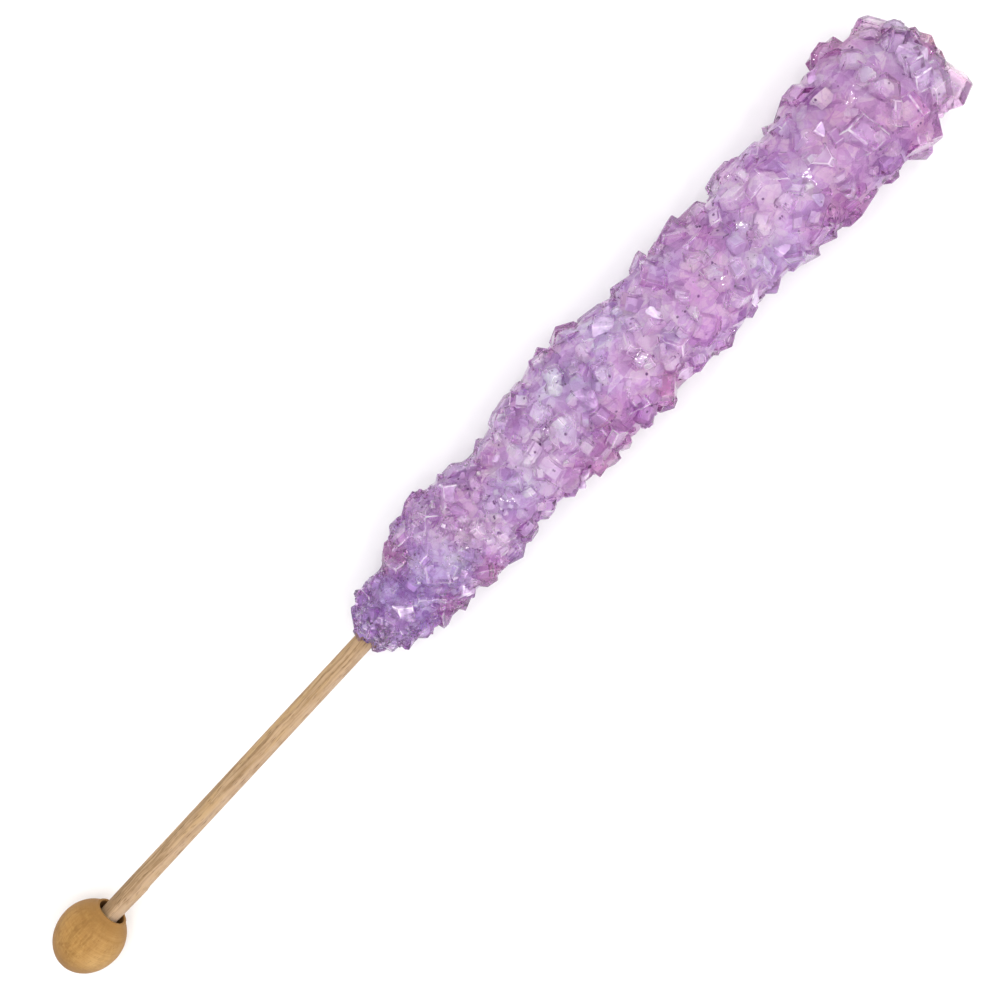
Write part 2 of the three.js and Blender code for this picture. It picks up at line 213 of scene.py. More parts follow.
class Graph:
    """The node tree of a material or of the world."""

    def __init__(self, owner: Any, kind: Tree = Tree.MATERIAL) -> None:
        """Empty the tree and make its output node.

        Args:
            owner: The material or the world.
            kind: Which of the two it is.
        """
        output, place = kind.value
        owner.use_nodes = True
        self.owner = owner
        self.tree = owner.node_tree
        self.tree.nodes.clear()
        self.output = self.node(output, {}, {})
        self.place = self.node("ShaderNodeTexCoord", {}, {}).outputs[place]

    def node(self, kind: str, settings: dict[str, Any], sockets: dict[Any, Any]) -> bpy.types.Node:
        """Add a node.

        Args:
            kind: The node's type.
            settings: What is set on the node itself, first. "stops" are a ramp's colours.
            sockets: Values or links of its inputs, by name or number.

        Returns:
            The node.
        """
        node = self.tree.nodes.new(kind)
        for key, setting in settings.items():
            if key == "stops":
                self._set_stops(node.color_ramp, setting)
            else:
                setattr(node, key, setting)
        for key, given in sockets.items():
            socket = given.socket if isinstance(given, Value) else given
            if isinstance(socket, bpy.types.NodeSocket):
                self.tree.links.new(socket, node.inputs[key])
            elif isinstance(socket, tuple) and node.inputs[key].type == "RGBA":
                node.inputs[key].default_value = (*socket[:3], 1.0)
            else:
                node.inputs[key].default_value = socket
        return node

    @staticmethod
    def _set_stops(ramp: bpy.types.ColorRamp, stops: Stops) -> None:
        """Set a ramp's colours.

        Args:
            ramp: The ramp.
            stops: Pairs of place and colour, from left to right.
        """
        while len(ramp.elements) < len(stops):
            ramp.elements.new(1.0)
        for element, (place, color) in zip(ramp.elements, stops):
            element.position = place
            element.color = (*color, 1.0)

    def axis(self, index: int) -> Value:
        """One coordinate of the place: 0, 1 or 2 for X, Y or Z."""
        return Value(self, self.node("ShaderNodeSeparateXYZ", {}, {0: self.place}).outputs[index])

    def red(self, color: Any) -> Value:
        """The first channel of a colour."""
        return Value(self, self.node("ShaderNodeSeparateColor", {}, {0: color}).outputs[0])

    def attribute(self, look: Look) -> Value:
        """A number noted on the mesh."""
        node = self.node("ShaderNodeAttribute", {"attribute_name": look.value}, {})
        return Value(self, node.outputs["Fac"])

    def ramp(self, factor: Any, stops: Stops) -> Any:
        """Add a color ramp.

        Args:
            factor: Where it is read.
            stops: Pairs of place and colour, from left to right.

        Returns:
            A colour socket.
        """
        return self.node("ShaderNodeValToRGB", {"stops": stops}, {"Fac": factor}).outputs["Color"]

    def math(self, operation: str, *operands: Any, clamp: bool = False) -> Value:
        """Add a Math node.

        Args:
            operation: The node's operation.
            operands: Numbers or values.
            clamp: Whether the result is kept between 0 and 1.

        Returns:
            The node's result.
        """
        settings = {"operation": operation, "use_clamp": clamp}
        node = self.node("ShaderNodeMath", settings, dict(enumerate(operands)))
        return Value(self, node.outputs[0])

    def mapped(self, pitch: Triple, shift: Triple = (0, 0, 0), place: Any = None) -> Any:
        """The place on the object, scaled for a texture.

        Args:
            pitch: How many units of the texture a metre holds, each way.
            shift: What is added after the scaling.
            place: What is scaled, where it isn't the plain place.

        Returns:
            A vector socket.
        """
        sockets = {"Vector": self.place if place is None else place, "Scale": pitch, "Location": shift}
        return self.node("ShaderNodeMapping", {}, sockets).outputs["Vector"]

    def bent(self, pitch: Triple, share: float) -> Any:
        """The place on the object, bent by a noise so that a pattern on it doesn't run straight.

        Args:
            pitch: The noise's waves in a metre, each way.
            share: How much of the noise is in the result.

        Returns:
            A vector socket.
        """
        noise = self.node("ShaderNodeTexNoise", {}, {"Vector": self.mapped(pitch), "Scale": 1.0})
        return self.mix(share, self.place, noise.outputs["Color"])

    def noise(self, pattern: Pattern, place: Any = None, scale: float = 1.0) -> Value:
        """Add a noise texture.

        Args:
            pattern: The noise.
            place: Where it is read, where that isn't the plain place.
            scale: How many times finer it is than the pattern says.

        Returns:
            Its value, about 0.5 in the middle.
        """
        sockets = {
            "Vector": self.mapped(pattern.pitch, pattern.shift, place),
            "Scale": scale,
            "Detail": pattern.detail,
            "Roughness": pattern.roughness,
        }
        return Value(self, self.node("ShaderNodeTexNoise", {}, sockets).outputs["Fac"])

    def cells(self, vector: Any, settings: dict[str, Any] | None = None) -> bpy.types.Node:
        """Add a Voronoi texture.

        Args:
            vector: Where it is read.
            settings: The node's settings.

        Returns:
            The node.
        """
        return self.node("ShaderNodeTexVoronoi", settings or {}, {"Vector": vector, "Scale": 1.0})

    def spots(self, pitch: Triple, rim: Span, chosen: Span, place: Any = None) -> Value:
        """Small round spots, one in the middle of each chosen cell.

        Args:
            pitch: The cells in a metre, each way.
            rim: How far from its middle a spot starts to fade, and where it ends.
            chosen: The share of the cells that hold a whole spot, and the share that holds any.
            place: Where they are read, where that isn't the plain place.

        Returns:
            1 on a spot and 0 elsewhere.
        """
        cells = self.cells(self.mapped(pitch, place=place))
        inside = 1 - Value(self, cells.outputs["Distance"]).eased(*rim)
        return inside * (1 - self.red(cells.outputs["Color"]).eased(*chosen))

    def mix(self, factor: Any, first: Any, second: Any, blend: Blend = Blend.MIX) -> Any:
        """Mix two colours.

        Args:
            factor: How much of the second.
            first: A colour or a colour socket.
            second: A colour or a colour socket.
            blend: The way of mixing.

        Returns:
            A colour socket.
        """
        settings = {"data_type": "RGBA", "blend_type": blend.value, "clamp_factor": True}
        node = self.node("ShaderNodeMix", settings, {0: factor, 6: first, 7: second})
        return node.outputs[2]

    def tinted(self, share: Any, color: Any, tint: Any) -> Any:
        """A colour times a tint, where a share of it is tinted."""
        return self.mix(share, color, tint, Blend.MULTIPLY)

    def bump(self, height: Value, strength: float, distance: float) -> Any:
        """Turn a height into a normal.

        Args:
            height: The height, in shares of the distance.
            strength: How strongly it shows.
            distance: The height of 1, in metres.

        Returns:
            A normal socket.
        """
        sockets = {"Height": height, "Strength": strength, "Distance": distance}
        return self.node("ShaderNodeBump", {}, sockets).outputs["Normal"]

    def finish(self, surface: bpy.types.NodeSocket) -> Any:
        """Link the surface shader to the output.

        Args:
            surface: The shader's socket.

        Returns:
            The finished material or world.
        """
        self.tree.links.new(surface, self.output.inputs["Surface"])
        return self.owner


# ------------------------------------------------------------------------------------------------
# Modelling
# ------------------------------------------------------------------------------------------------


class Workbench:
    """Blender's modelling operators, one object at a time."""

    DOUBLE = 1e-4  # vertices closer than this are one

    @staticmethod
    def clear() -> None:
        """Deselect everything."""
        for thing in bpy.context.selected_objects:
            thing.select_set(False)

    @classmethod
    def take(cls, piece: bpy.types.Object) -> None:
        """Make a piece the only selected and active one.

        Args:
            piece: The piece.
        """
        cls.clear()
        bpy.context.view_layer.objects.active = piece
        piece.select_set(True)

    @classmethod
    def primitive(cls, add: Callable[..., Any], name: str, **sizes: Any) -> bpy.types.Object:
        """Add a primitive.

        Args:
            add: The operator that adds it.
            name: The piece's name.
            sizes: The operator's arguments.

        Returns:
            The new piece, selected and active.
        """
        cls.clear()
        add(**sizes)
        piece = bpy.context.active_object
        piece.name = name
        piece.data.name = name
        return piece

    @staticmethod
    def pick(piece: bpy.types.Object, kind: Part, test: Callable[[Any], bool]) -> None:
        """Select parts of a mesh in edit mode by a test.

        Args:
            piece: The piece, in edit mode.
            kind: Which parts.
            test: Whether a part is selected.
        """
        parts, mode = kind.value
        bpy.ops.mesh.select_mode(type=mode)
        bpy.ops.mesh.select_all(action="DESELECT")
        bpy.ops.object.mode_set(mode="OBJECT")
        for part in getattr(piece.data, parts):
            part.select = bool(test(part))
        bpy.ops.object.mode_set(mode="EDIT")

    @classmethod
    def modify(cls, piece: bpy.types.Object, kind: str, **settings: Any) -> None:
        """Add a modifier and apply it.

        Args:
            piece: The piece.
            kind: The modifier's type.
            settings: Its settings.
        """
        modifier = piece.modifiers.new(kind.title(), kind)
        for key, setting in settings.items():
            setattr(modifier, key, setting)
        cls.take(piece)
        bpy.ops.object.modifier_apply(modifier=modifier.name)

    @staticmethod
    def points(piece: bpy.types.Object) -> np.ndarray:
        """Read the piece's vertices.

        Args:
            piece: The piece.

        Returns:
            Their places, one a row.
        """
        flat = np.empty(len(piece.data.vertices) * 3, np.float32)
        piece.data.vertices.foreach_get("co", flat)
        return flat.reshape(-1, 3).astype(float)

    @staticmethod
    def set_points(piece: bpy.types.Object, points: np.ndarray) -> None:
        """Move the piece's vertices.

        Args:
            piece: The piece.
            points: Their new places, one a row.
        """
        piece.data.vertices.foreach_set("co", points.astype(np.float32).ravel())
        piece.data.update()

    @classmethod
    def outward(cls, piece: bpy.types.Object) -> None:
        """Merge doubles and turn every face outwards.

        Args:
            piece: The piece.
        """
        cls.take(piece)
        bpy.ops.object.mode_set(mode="EDIT")
        bpy.ops.mesh.select_all(action="SELECT")
        bpy.ops.mesh.remove_doubles(threshold=cls.DOUBLE)
        bpy.ops.mesh.normals_make_consistent(inside=False)
        bpy.ops.object.mode_set(mode="OBJECT")


def note(mesh: bpy.types.Mesh, domain: Domain, looks: dict[Look, Sequence[float]]) -> None:
    """Note on a mesh how each of its points or faces looks.

    Args:
        mesh: The mesh.
        domain: Whether they are its points or its faces.
        looks: A number for each.
    """
    for look, values in looks.items():
        mesh.attributes.new(look.value, "FLOAT", domain.value).data.foreach_set("value", values)


@dataclass(frozen=True)
class Lay:
    """How the stick lies: from millimetres along the candy's axis to the frame's metres.

    The ball and the dowel are swung a little against the candy about one place on that axis.
    """

    ball_radius: float = 4.7
    ball_back: float = 5.7
    ball_sit: float = math.radians(15.5)
    grip_along: float = 3.65
    grip_reach: float = 3.3
    dowel_radius: float = 1.38
    dowel_start: float = 1.9
    dowel_end: float = 157.0
    swing: float = math.radians(0.244)
    swing_along: float = 41.0
    contact_along: float = 153.0
    contact_reach: float = 10.0

    @property
    def grip_height(self) -> float:
        """How high the dowel's axis crosses the ball's.

        Returns:
            The height over the surface, in millimetres.
        """
        across = self.ball_radius * math.cos(self.ball_sit)
        ball_height = math.hypot(self.ball_back * math.sin(self.ball_sit), across)
        return ball_height + self.grip_reach * math.sin(self.ball_sit)

    @property
    def tilt(self) -> float:
        """The slope of the axis."""
        rise = self.contact_reach - self.grip_height
        return math.atan(rise / (self.contact_along - self.grip_along))

    def swung(self) -> Matrix:
        """The swing of the wooden parts.

        Returns:
            A turn about the upright line that they are swung about.
        """
        crossing = Vector((self.swing_along, 0, 0))
        turn = Matrix.Rotation(self.swing, 4, "Z")
        return Matrix.Translation(crossing) @ turn @ Matrix.Translation(-crossing)

    def matrix(self) -> Matrix:
        """The change from millimetres along the axis to the frame.

        Returns:
            A matrix that puts the middle of the dowel on the middle of its solid.
        """
        low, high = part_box("dowel")
        turn = Matrix.Rotation(-self.tilt, 4, "Y")
        middle = turn @ self.swung() @ Vector(((self.dowel_start + self.dowel_end) / 2, 0, 0))
        shift = (Vector(low) + Vector(high)) / (2 * MM) - middle
        return Matrix.Scale(MM, 4) @ Matrix.Translation(shift) @ turn

    def place(self, piece: bpy.types.Object, wooden: bool = False) -> None:
        """Lay a piece, modelled along the axis, in the frame.

        Args:
            piece: The piece.
            wooden: Whether it is swung with the wooden parts.
        """
        piece.data.transform(self.matrix() @ self.swung() if wooden else self.matrix())
        piece.data.update()


def dress(piece: bpy.types.Object, material: bpy.types.Material, slot: Slot, node: str) -> None:
    """Give a finished piece its material and tell the frame about it.

    Args:
        piece: The piece.
        material: Its only material.
        slot: The record's material slot. It is not used.
        node: The node that it stands for.
    """
    piece.data.materials.clear()
    piece.data.materials.append(material)
    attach(piece, ROOT)
    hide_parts(node)
    LOG.info("%s: %d faces", piece.name, len(piece.data.polygons))


# ------------------------------------------------------------------------------------------------
# Finishes
# ------------------------------------------------------------------------------------------------


@dataclass(frozen=True)
class Pores:
    """Short dark pores along the fibres of a wood: the cells that may hold one, and how many do."""

    pitch: Triple
    share: float
    strength: float
    rim: Span = (0.15, 0.4)
    soft: float = 0.02

    def shown(self, graph: Graph, place: Any) -> Value:
        """How strongly a pore shows at each place."""
        chosen = (self.share - self.soft, self.share + self.soft)
        return graph.spots(self.pitch, self.rim, chosen, place) * self.strength


@dataclass(frozen=True)
class WoodFinish:
    """Pale hardwood with its fibres along the stick.

    The span of the painted light is places in metres, from the right side inwards. The others are
    a pattern's values.
    """

    name: str
    light: Color
    dark: Color
    tan: Color
    # Painted light: the paler colour of the right side, towards the key lamp.
    pale: Color
    lit_side_span: Span
    pore: Color
    fibre_scale: float
    mottle: float
    long_pores: Pores
    roughness: float
    short_pores: Pores = Pores((750, 8000, 8000), 0.35, 0.5)
    bend_pitch: Triple = (160, 220, 220)
    bend: float = 0.0006
    fibres: Pattern = Pattern((90, 2200, 2200), 4.0, 0.62)
    threads: Pattern = Pattern((150, 4800, 4800), shift=(1, 4, 2))
    bands: Pattern = Pattern((60, 800, 800), shift=(3.1, 0.4, 1.7))
    clouds: Pattern = Pattern((420, 420, 420), 3.0, 0.6, (2.6, 8.1, 0.7))
    grit: Pattern = Pattern((1900, 2600, 2600))
    grain_span: Span = (0.41, 0.59)
    rough_span: Span = (0.38, 0.62)
    tan_span: Span = (0.5, 0.62)
    tan_share: float = 0.6
    lit_side_clouds: Span = (0.3, 0.7)
    lit_side_least: float = 0.35
    lit_side_more: float = 0.5
    relief: float = 0.00006
    relief_strength: float = 0.5

    def material(self) -> bpy.types.Material:
        """Build the material.

        Returns:
            The material.
        """
        graph = Graph(bpy.data.materials.new(self.name))
        wavy = graph.bent(self.bend_pitch, self.bend)
        fibres = graph.noise(self.fibres, wavy, self.fibre_scale)
        threads = graph.noise(self.threads, wavy, self.fibre_scale)
        bands = graph.noise(self.bands, wavy, self.fibre_scale)
        clouds = graph.noise(self.clouds)
        grain = (fibres * 0.4 + threads * 0.35 + bands * 0.25).eased(*self.grain_span)
        rough = (clouds * 0.6 + graph.noise(self.grit) * 0.4).eased(*self.rough_span)
        color = graph.mix(grain * (1 - self.mottle) + rough * self.mottle, self.dark, self.light)
        color = graph.mix(bands.eased(*self.tan_span) * self.tan_share, color, self.tan)
        # Painted light: the right side, towards the key lamp, is paler in patches.
        at_right = 1 - graph.axis(1).eased(*self.lit_side_span)
        painted_light = self.lit_side_least + clouds.eased(*self.lit_side_clouds) * self.lit_side_more
        color = graph.mix(at_right * painted_light, color, self.pale)
        color = graph.mix(self.long_pores.shown(graph, wavy), color, self.pore)
        short_pores = self.short_pores.shown(graph, wavy)
        color = graph.mix(short_pores, color, self.pore)
        height = fibres * 0.6 + threads * 0.4 - short_pores
        shader = graph.node(
            "ShaderNodeBsdfPrincipled",
            {},
            {
                "Base Color": self._marked(graph, color),
                "Roughness": self.roughness + fibres * 0.1,
                "Normal": graph.bump(height, self.relief_strength, self.relief),
                "Specular IOR Level": 0.25,
                "Subsurface Weight": 0.1,
                "Subsurface Radius": (1.0, 0.6, 0.3),
                "Subsurface Scale": 0.0004,
                "IOR": 1.45,
            },
        )
        return graph.finish(shader.outputs[0])

    def _marked(self, graph: Graph, color: Any) -> Any:
        """The wood's colour with the marks of how the piece was made: a plain stick has none."""
        return color


@dataclass(frozen=True)
class TurnedWoodFinish(WoodFinish):
    """The same wood after turning and drilling: rings, a groove and darker ends, with painted shade
    low on the ball and in the drilled hole.

    The groove and the ends are places along the lathe in millimetres, and the span of the painted
    shade low on the ball is heights over the surface in metres.
    """

    rings_scale: float = 5.0
    rings_span: Span = (0.45, 0.6)
    rings_share: float = 0.25
    groove: float = 2.9
    groove_width: Span = (0.04, 0.17)
    groove_share: float = 0.5
    ends: Span = (1.4, 4.4)
    ends_share: float = 0.75
    # Painted shade: the ball is darkened towards the bottom, over these heights.
    wear_and_low_shade: Span = (0.0054, 0.0082)
    low_shade_share: float = 0.6
    # Painted shade: the colour that the drilled hole is darkened towards.
    hollow: Color = (0.05, 0.022, 0.006)
    hole_shade_share: float = 0.75

    def _marked(self, graph: Graph, color: Any) -> Any:
        """Add the marks of turning, darker ends, and painted shade low down and in the hole.

        Args:
            graph: The material's graph.
            color: The wood's colour.

        Returns:
            A colour socket.
        """
        turned = graph.attribute(Look.TURNED)
        settings = {"noise_dimensions": "1D"}
        noise = graph.node("ShaderNodeTexNoise", settings, {"W": turned, "Scale": self.rings_scale})
        rings = Value(graph, noise.outputs["Fac"]).eased(*self.rings_span)
        groove = 1 - (turned - self.groove).math("ABSOLUTE").eased(*self.groove_width)
        turning = rings * self.rings_share + groove * self.groove_share
        color = graph.mix(turning, color, self.dark)
        # Painted shade: darker towards the bottom of the ball, where less light reaches it.
        wear_and_low_shade = 1 - graph.axis(2).eased(*self.wear_and_low_shade)
        color = graph.mix(wear_and_low_shade * self.low_shade_share, color, self.dark)
        ends = turned.math("ABSOLUTE").eased(*self.ends)
        color = graph.mix(ends * self.ends_share, color, self.dark)
        # Painted shade: the drilled hole is made nearly black, as shade falls inside it.
        return graph.mix(graph.attribute(Look.HOLLOW) * self.hole_shade_share, color, self.hollow)


@dataclass(frozen=True)
class SugarFinish:
    """Tinted, glossy sugar crystals from clear to cloudy, with painted highlights on some edges.

    The spans of the right side, the heel, the nose and the foot that the rod rests on are places in
    metres between which a colour comes in. The others are values of a pattern or of a face's tone.
    """

    name: str = "clear_sugar"
    absorbed: Color = (0.78, 0.10, 0.72)
    density: float = 115.0
    tints: Stops = (
        (0.0, (0.86, 0.65, 0.84)),
        (0.1, (0.895, 0.785, 0.90)),
        (0.25, (0.93, 0.92, 0.94)),
        (1.0, (0.95, 0.98, 0.95)),
    )
    right: Color = (0.93, 0.82, 0.93)
    right_span: Span = (-0.0085, -0.002)
    heel: Color = (0.92, 0.77, 0.91)
    heel_span: Span = (-0.0225, -0.001)
    nose: Color = (1.0, 0.80, 0.74)
    nose_span: Span = (0.0826, 0.0845)
    plum: Color = (0.80, 0.42, 0.70)
    plum_share: float = 0.85
    pale: Color = (1.0, 1.0, 1.0)
    pale_share: float = 0.6
    cloud_light: Color = (0.84, 0.72, 0.90)
    cloud_dark: Color = (0.68, 0.44, 0.76)
    cloud_span: Span = (0.2, 0.8)
    milk_span: Span = (0.32, 0.62)
    # Painted highlight: whiter, cloudy sugar on some bevelled edges stands in for light along them.
    crest: Color = (0.98, 0.92, 1.0)
    edge_highlight_span: Span = (0.35, 0.6)
    edge_highlight_share: float = 0.32
    edge_highlight_more_at_heel: float = 0.3
    foot_span: Span = (0.0006, 0.002)
    foot_share: float = 0.9
    waves: Pattern = Pattern((2000, 2000, 2000), 1.0)
    wave_height: float = 0.00004
    wave_strength: float = 0.5
    patches: Pattern = Pattern((420, 420, 420), 3.0, 0.6)
    clear_roughness: float = 0.05
    cloudy_roughness: float = 0.15

    def material(self) -> bpy.types.Material:
        """Build the material.

        Returns:
            The material.
        """
        graph = Graph(bpy.data.materials.new(self.name))
        normal = graph.bump(graph.noise(self.waves), self.wave_strength, self.wave_height)
        patches = graph.noise(self.patches)
        tone = graph.attribute(Look.TONE)
        # Painted highlight on the bevelled edges, in patches.
        crest = graph.attribute(Look.CREST) * patches.eased(*self.edge_highlight_span)
        at_heel = 1 - graph.axis(0).eased(*self.heel_span)
        clear = graph.node(
            "ShaderNodeBsdfPrincipled",
            {},
            {
                "Base Color": self._tint(graph, tone, at_heel),
                "Roughness": self.clear_roughness,
                "Normal": normal,
                "Transmission Weight": 1.0,
                "IOR": 1.42,
            },
        )
        shade = (patches * 0.5 + tone * 0.5).eased(*self.cloud_span)
        cloud = graph.mix(shade, self.cloud_dark, self.cloud_light)
        cloudy = graph.node(
            "ShaderNodeBsdfPrincipled",
            {},
            {
                "Base Color": graph.mix(crest, cloud, self.crest),
                "Roughness": self.cloudy_roughness,
                "Normal": normal,
                "Subsurface Weight": 1.0,
                "Subsurface Radius": (1.0, 0.7, 1.0),
                "Subsurface Scale": 0.0006,
                "IOR": 1.5,
            },
        )
        milk = graph.attribute(Look.MILK) * patches.eased(*self.milk_span)
        # The painted highlight also turns its edges cloudy, more so at the heel.
        painted_highlight = crest * (at_heel * self.edge_highlight_more_at_heel + self.edge_highlight_share)
        foot = 1 - graph.axis(2).eased(*self.foot_span)
        share = (milk + painted_highlight + foot * self.foot_share).clamped()
        sockets = {0: share, 1: clear.outputs[0], 2: cloudy.outputs[0]}
        surface = graph.node("ShaderNodeMixShader", {}, sockets)
        sockets = {"Color": self.absorbed, "Density": self.density}
        inside = graph.node("ShaderNodeVolumeAbsorption", {}, sockets)
        graph.tree.links.new(inside.outputs[0], graph.output.inputs["Volume"])
        return graph.finish(surface.outputs[0])

    def _tint(self, graph: Graph, tone: Value, at_heel: Value) -> Any:
        """The colour of the clear crystals.

        Args:
            graph: The material's graph.
            tone: How light each face is.
            at_heel: How near the heel a place is.

        Returns:
            A colour socket.
        """
        at_right = 1 - graph.axis(1).eased(*self.right_span)
        tint = graph.tinted(at_right, graph.ramp(tone, self.tints), self.right)
        tint = graph.tinted(at_heel, tint, self.heel)
        dye = graph.attribute(Look.DYE)
        tint = graph.mix(dye.clamped() * self.plum_share, tint, self.plum)
        tint = graph.mix((dye * -self.pale_share).clamped(), tint, self.pale)
        return graph.mix(graph.axis(0).eased(*self.nose_span), tint, self.nose)


@dataclass(frozen=True)
class HeartFinish:
    """The milky inside of the rod, where small crystals have grown into each other.

    The spans of the right side, the heel, the nose and the wood that shines through are places in
    metres between which a colour comes in. The others are values of a pattern or of a grain's tone.
    """

    name: str = "milky_sugar"
    shades: Stops = (
        (0.0, (0.52, 0.33, 0.64)),
        (0.25, (0.75, 0.58, 0.86)),
        (0.5, (0.88, 0.81, 0.98)),
        (0.75, (0.96, 0.96, 1.0)),
        (1.0, (1.0, 1.0, 1.0)),
    )
    tone_span: Span = (0.08, 0.92)
    face_share: float = 0.55
    rosy: Color = (1.0, 0.94, 0.97)
    bluish: Color = (0.92, 0.965, 1.0)
    hue_span: Span = (0.38, 0.62)
    right: Color = (0.92, 0.85, 0.94)
    right_span: Span = (-0.0065, -0.002)
    heel: Color = (0.74, 0.67, 0.90)
    heel_span: Span = (-0.0225, -0.001)
    nose: Color = (1.0, 0.97, 0.92)
    nose_span: Span = (0.055, 0.075)
    plum: Color = (0.62, 0.24, 0.50)
    plum_share: float = 0.6
    pale: Color = (0.95, 0.93, 0.99)
    pale_share: float = 0.35
    seam: Color = (0.64, 0.42, 0.72)
    seam_width: Span = (0.01, 0.05)
    seam_share: float = 0.4
    wood: Color = (0.86, 0.72, 0.79)
    wood_span: Span = (0.0008, 0.004)
    wood_share: float = 0.22
    clearing_span: Span = (0.4, 0.6)
    bit: Color = (0.36, 0.22, 0.48)
    bit_span: Span = (0.2, 0.32)
    bit_share: float = 0.1
    bit_more_at_heel: float = 0.4
    speck: Color = (0.16, 0.05, 0.22)
    speck_pitch: Triple = (850, 850, 850)
    speck_rim: Span = (0.1, 0.24)
    speck_chosen: Span = (0.44, 0.46)
    bend_pitch: Triple = (500, 500, 500)
    bend: float = 0.0016
    grain_pitch: Triple = (420, 420, 420)
    fine_pitch: Triple = (1100, 1100, 1100)
    clearings: Pattern = Pattern((90, 160, 160))
    hues: Pattern = Pattern((120, 150, 150), 2.0, 0.4, (4.2, 1.1, 6.3))

    def material(self) -> bpy.types.Material:
        """Build the material.

        Returns:
            The material.
        """
        graph = Graph(bpy.data.materials.new(self.name))
        at_heel = 1 - graph.axis(0).eased(*self.heel_span)
        place = graph.bent(self.bend_pitch, self.bend)
        large = graph.red(graph.cells(graph.mapped(self.grain_pitch, place=place)).outputs["Color"])
        small = graph.red(graph.cells(graph.mapped(self.fine_pitch, place=place)).outputs["Color"])
        grains = large * 0.5 + small * 0.5
        tone = grains * (1 - self.face_share) + graph.attribute(Look.TONE) * self.face_share
        color = graph.ramp(tone.eased(*self.tone_span), self.shades)
        color = graph.mix(self._seams(graph, place) * self.seam_share, color, self.seam)
        color = self._zoned(graph, color, at_heel)
        dye = graph.attribute(Look.DYE)
        color = graph.mix(dye.clamped() * self.plum_share, color, self.plum)
        color = graph.mix((dye * -self.pale_share).clamped(), color, self.pale)
        shown = at_heel * self.bit_more_at_heel + self.bit_share
        color = graph.mix((1 - small.eased(*self.bit_span)) * shown, color, self.bit)
        specks = graph.spots(self.speck_pitch, self.speck_rim, self.speck_chosen)
        shader = graph.node(
            "ShaderNodeBsdfPrincipled",
            {},
            {
                "Base Color": graph.mix(specks, color, self.speck),
                "Roughness": 0.35,
                "Subsurface Weight": 0.3,
                "Subsurface Radius": (1.0, 0.8, 1.0),
                "Subsurface Scale": 0.0004,
                "Specular IOR Level": 0.3,
            },
        )
        return graph.finish(shader.outputs[0])

    def _seams(self, graph: Graph, place: Any) -> Value:
        """The thin seams between the large grains.

        Args:
            graph: The material's graph.
            place: The bent place on the object.

        Returns:
            1 on a seam and 0 elsewhere.
        """
        vector = graph.mapped(self.grain_pitch, place=place)
        cells = graph.cells(vector, {"feature": "DISTANCE_TO_EDGE"})
        return 1 - Value(graph, cells.outputs["Distance"]).eased(*self.seam_width)

    def _zoned(self, graph: Graph, color: Any, at_heel: Value) -> Any:
        """Tint the sugar where the wood shines through, in large zones and towards the ends.

        Args:
            graph: The material's graph.
            color: The sugar's colour.
            at_heel: How near the heel a place is.

        Returns:
            A colour socket.
        """
        near_wood = 1 - graph.axis(1).math("ABSOLUTE").eased(*self.wood_span)
        show = near_wood * graph.noise(self.clearings).eased(*self.clearing_span)
        color = graph.mix(show * self.wood_share, color, self.wood)
        hue = graph.mix(graph.noise(self.hues).eased(*self.hue_span), self.rosy, self.bluish)
        color = graph.tinted(1.0, color, hue)
        color = graph.tinted(at_heel, color, self.heel)
        color = graph.tinted(graph.axis(0).eased(*self.nose_span), color, self.nose)
        at_right = 1 - graph.axis(1).eased(*self.right_span)
        return graph.tinted(at_right, color, self.right)


# ------------------------------------------------------------------------------------------------
# The wooden parts
# ------------------------------------------------------------------------------------------------

BALL_WOOD = TurnedWoodFinish(
    name="ball_wood",
    light=(0.45, 0.25, 0.073),
    dark=(0.265, 0.13, 0.032),
    tan=(0.38, 0.195, 0.053),
    # Painted light: the ball's right side, towards the key lamp, is paler.
    pale=(0.53, 0.325, 0.125),
    lit_side_span=(-0.0036, 0.0004),
    pore=(0.20, 0.085, 0.02),
    fibre_scale=0.7,
    mottle=0.5,
    long_pores=Pores((400, 6400, 6400), 0.03, 0.9),
    roughness=0.55,
)

DOWEL_WOOD = WoodFinish(
    name="dowel_wood",
    light=(0.465, 0.315, 0.185),
    dark=(0.265, 0.165, 0.083),
    tan=(0.445, 0.29, 0.135),
    # Painted light: the dowel's right side, towards the key lamp, is paler.
    pale=(0.475, 0.335, 0.23),
    lit_side_span=(-0.0010, 0.0002),
    pore=(0.10, 0.05, 0.022),
    fibre_scale=1.0,
    mottle=0.12,
    long_pores=Pores((400, 6400, 6400), 0.2, 0.9),
    roughness=0.65,
)


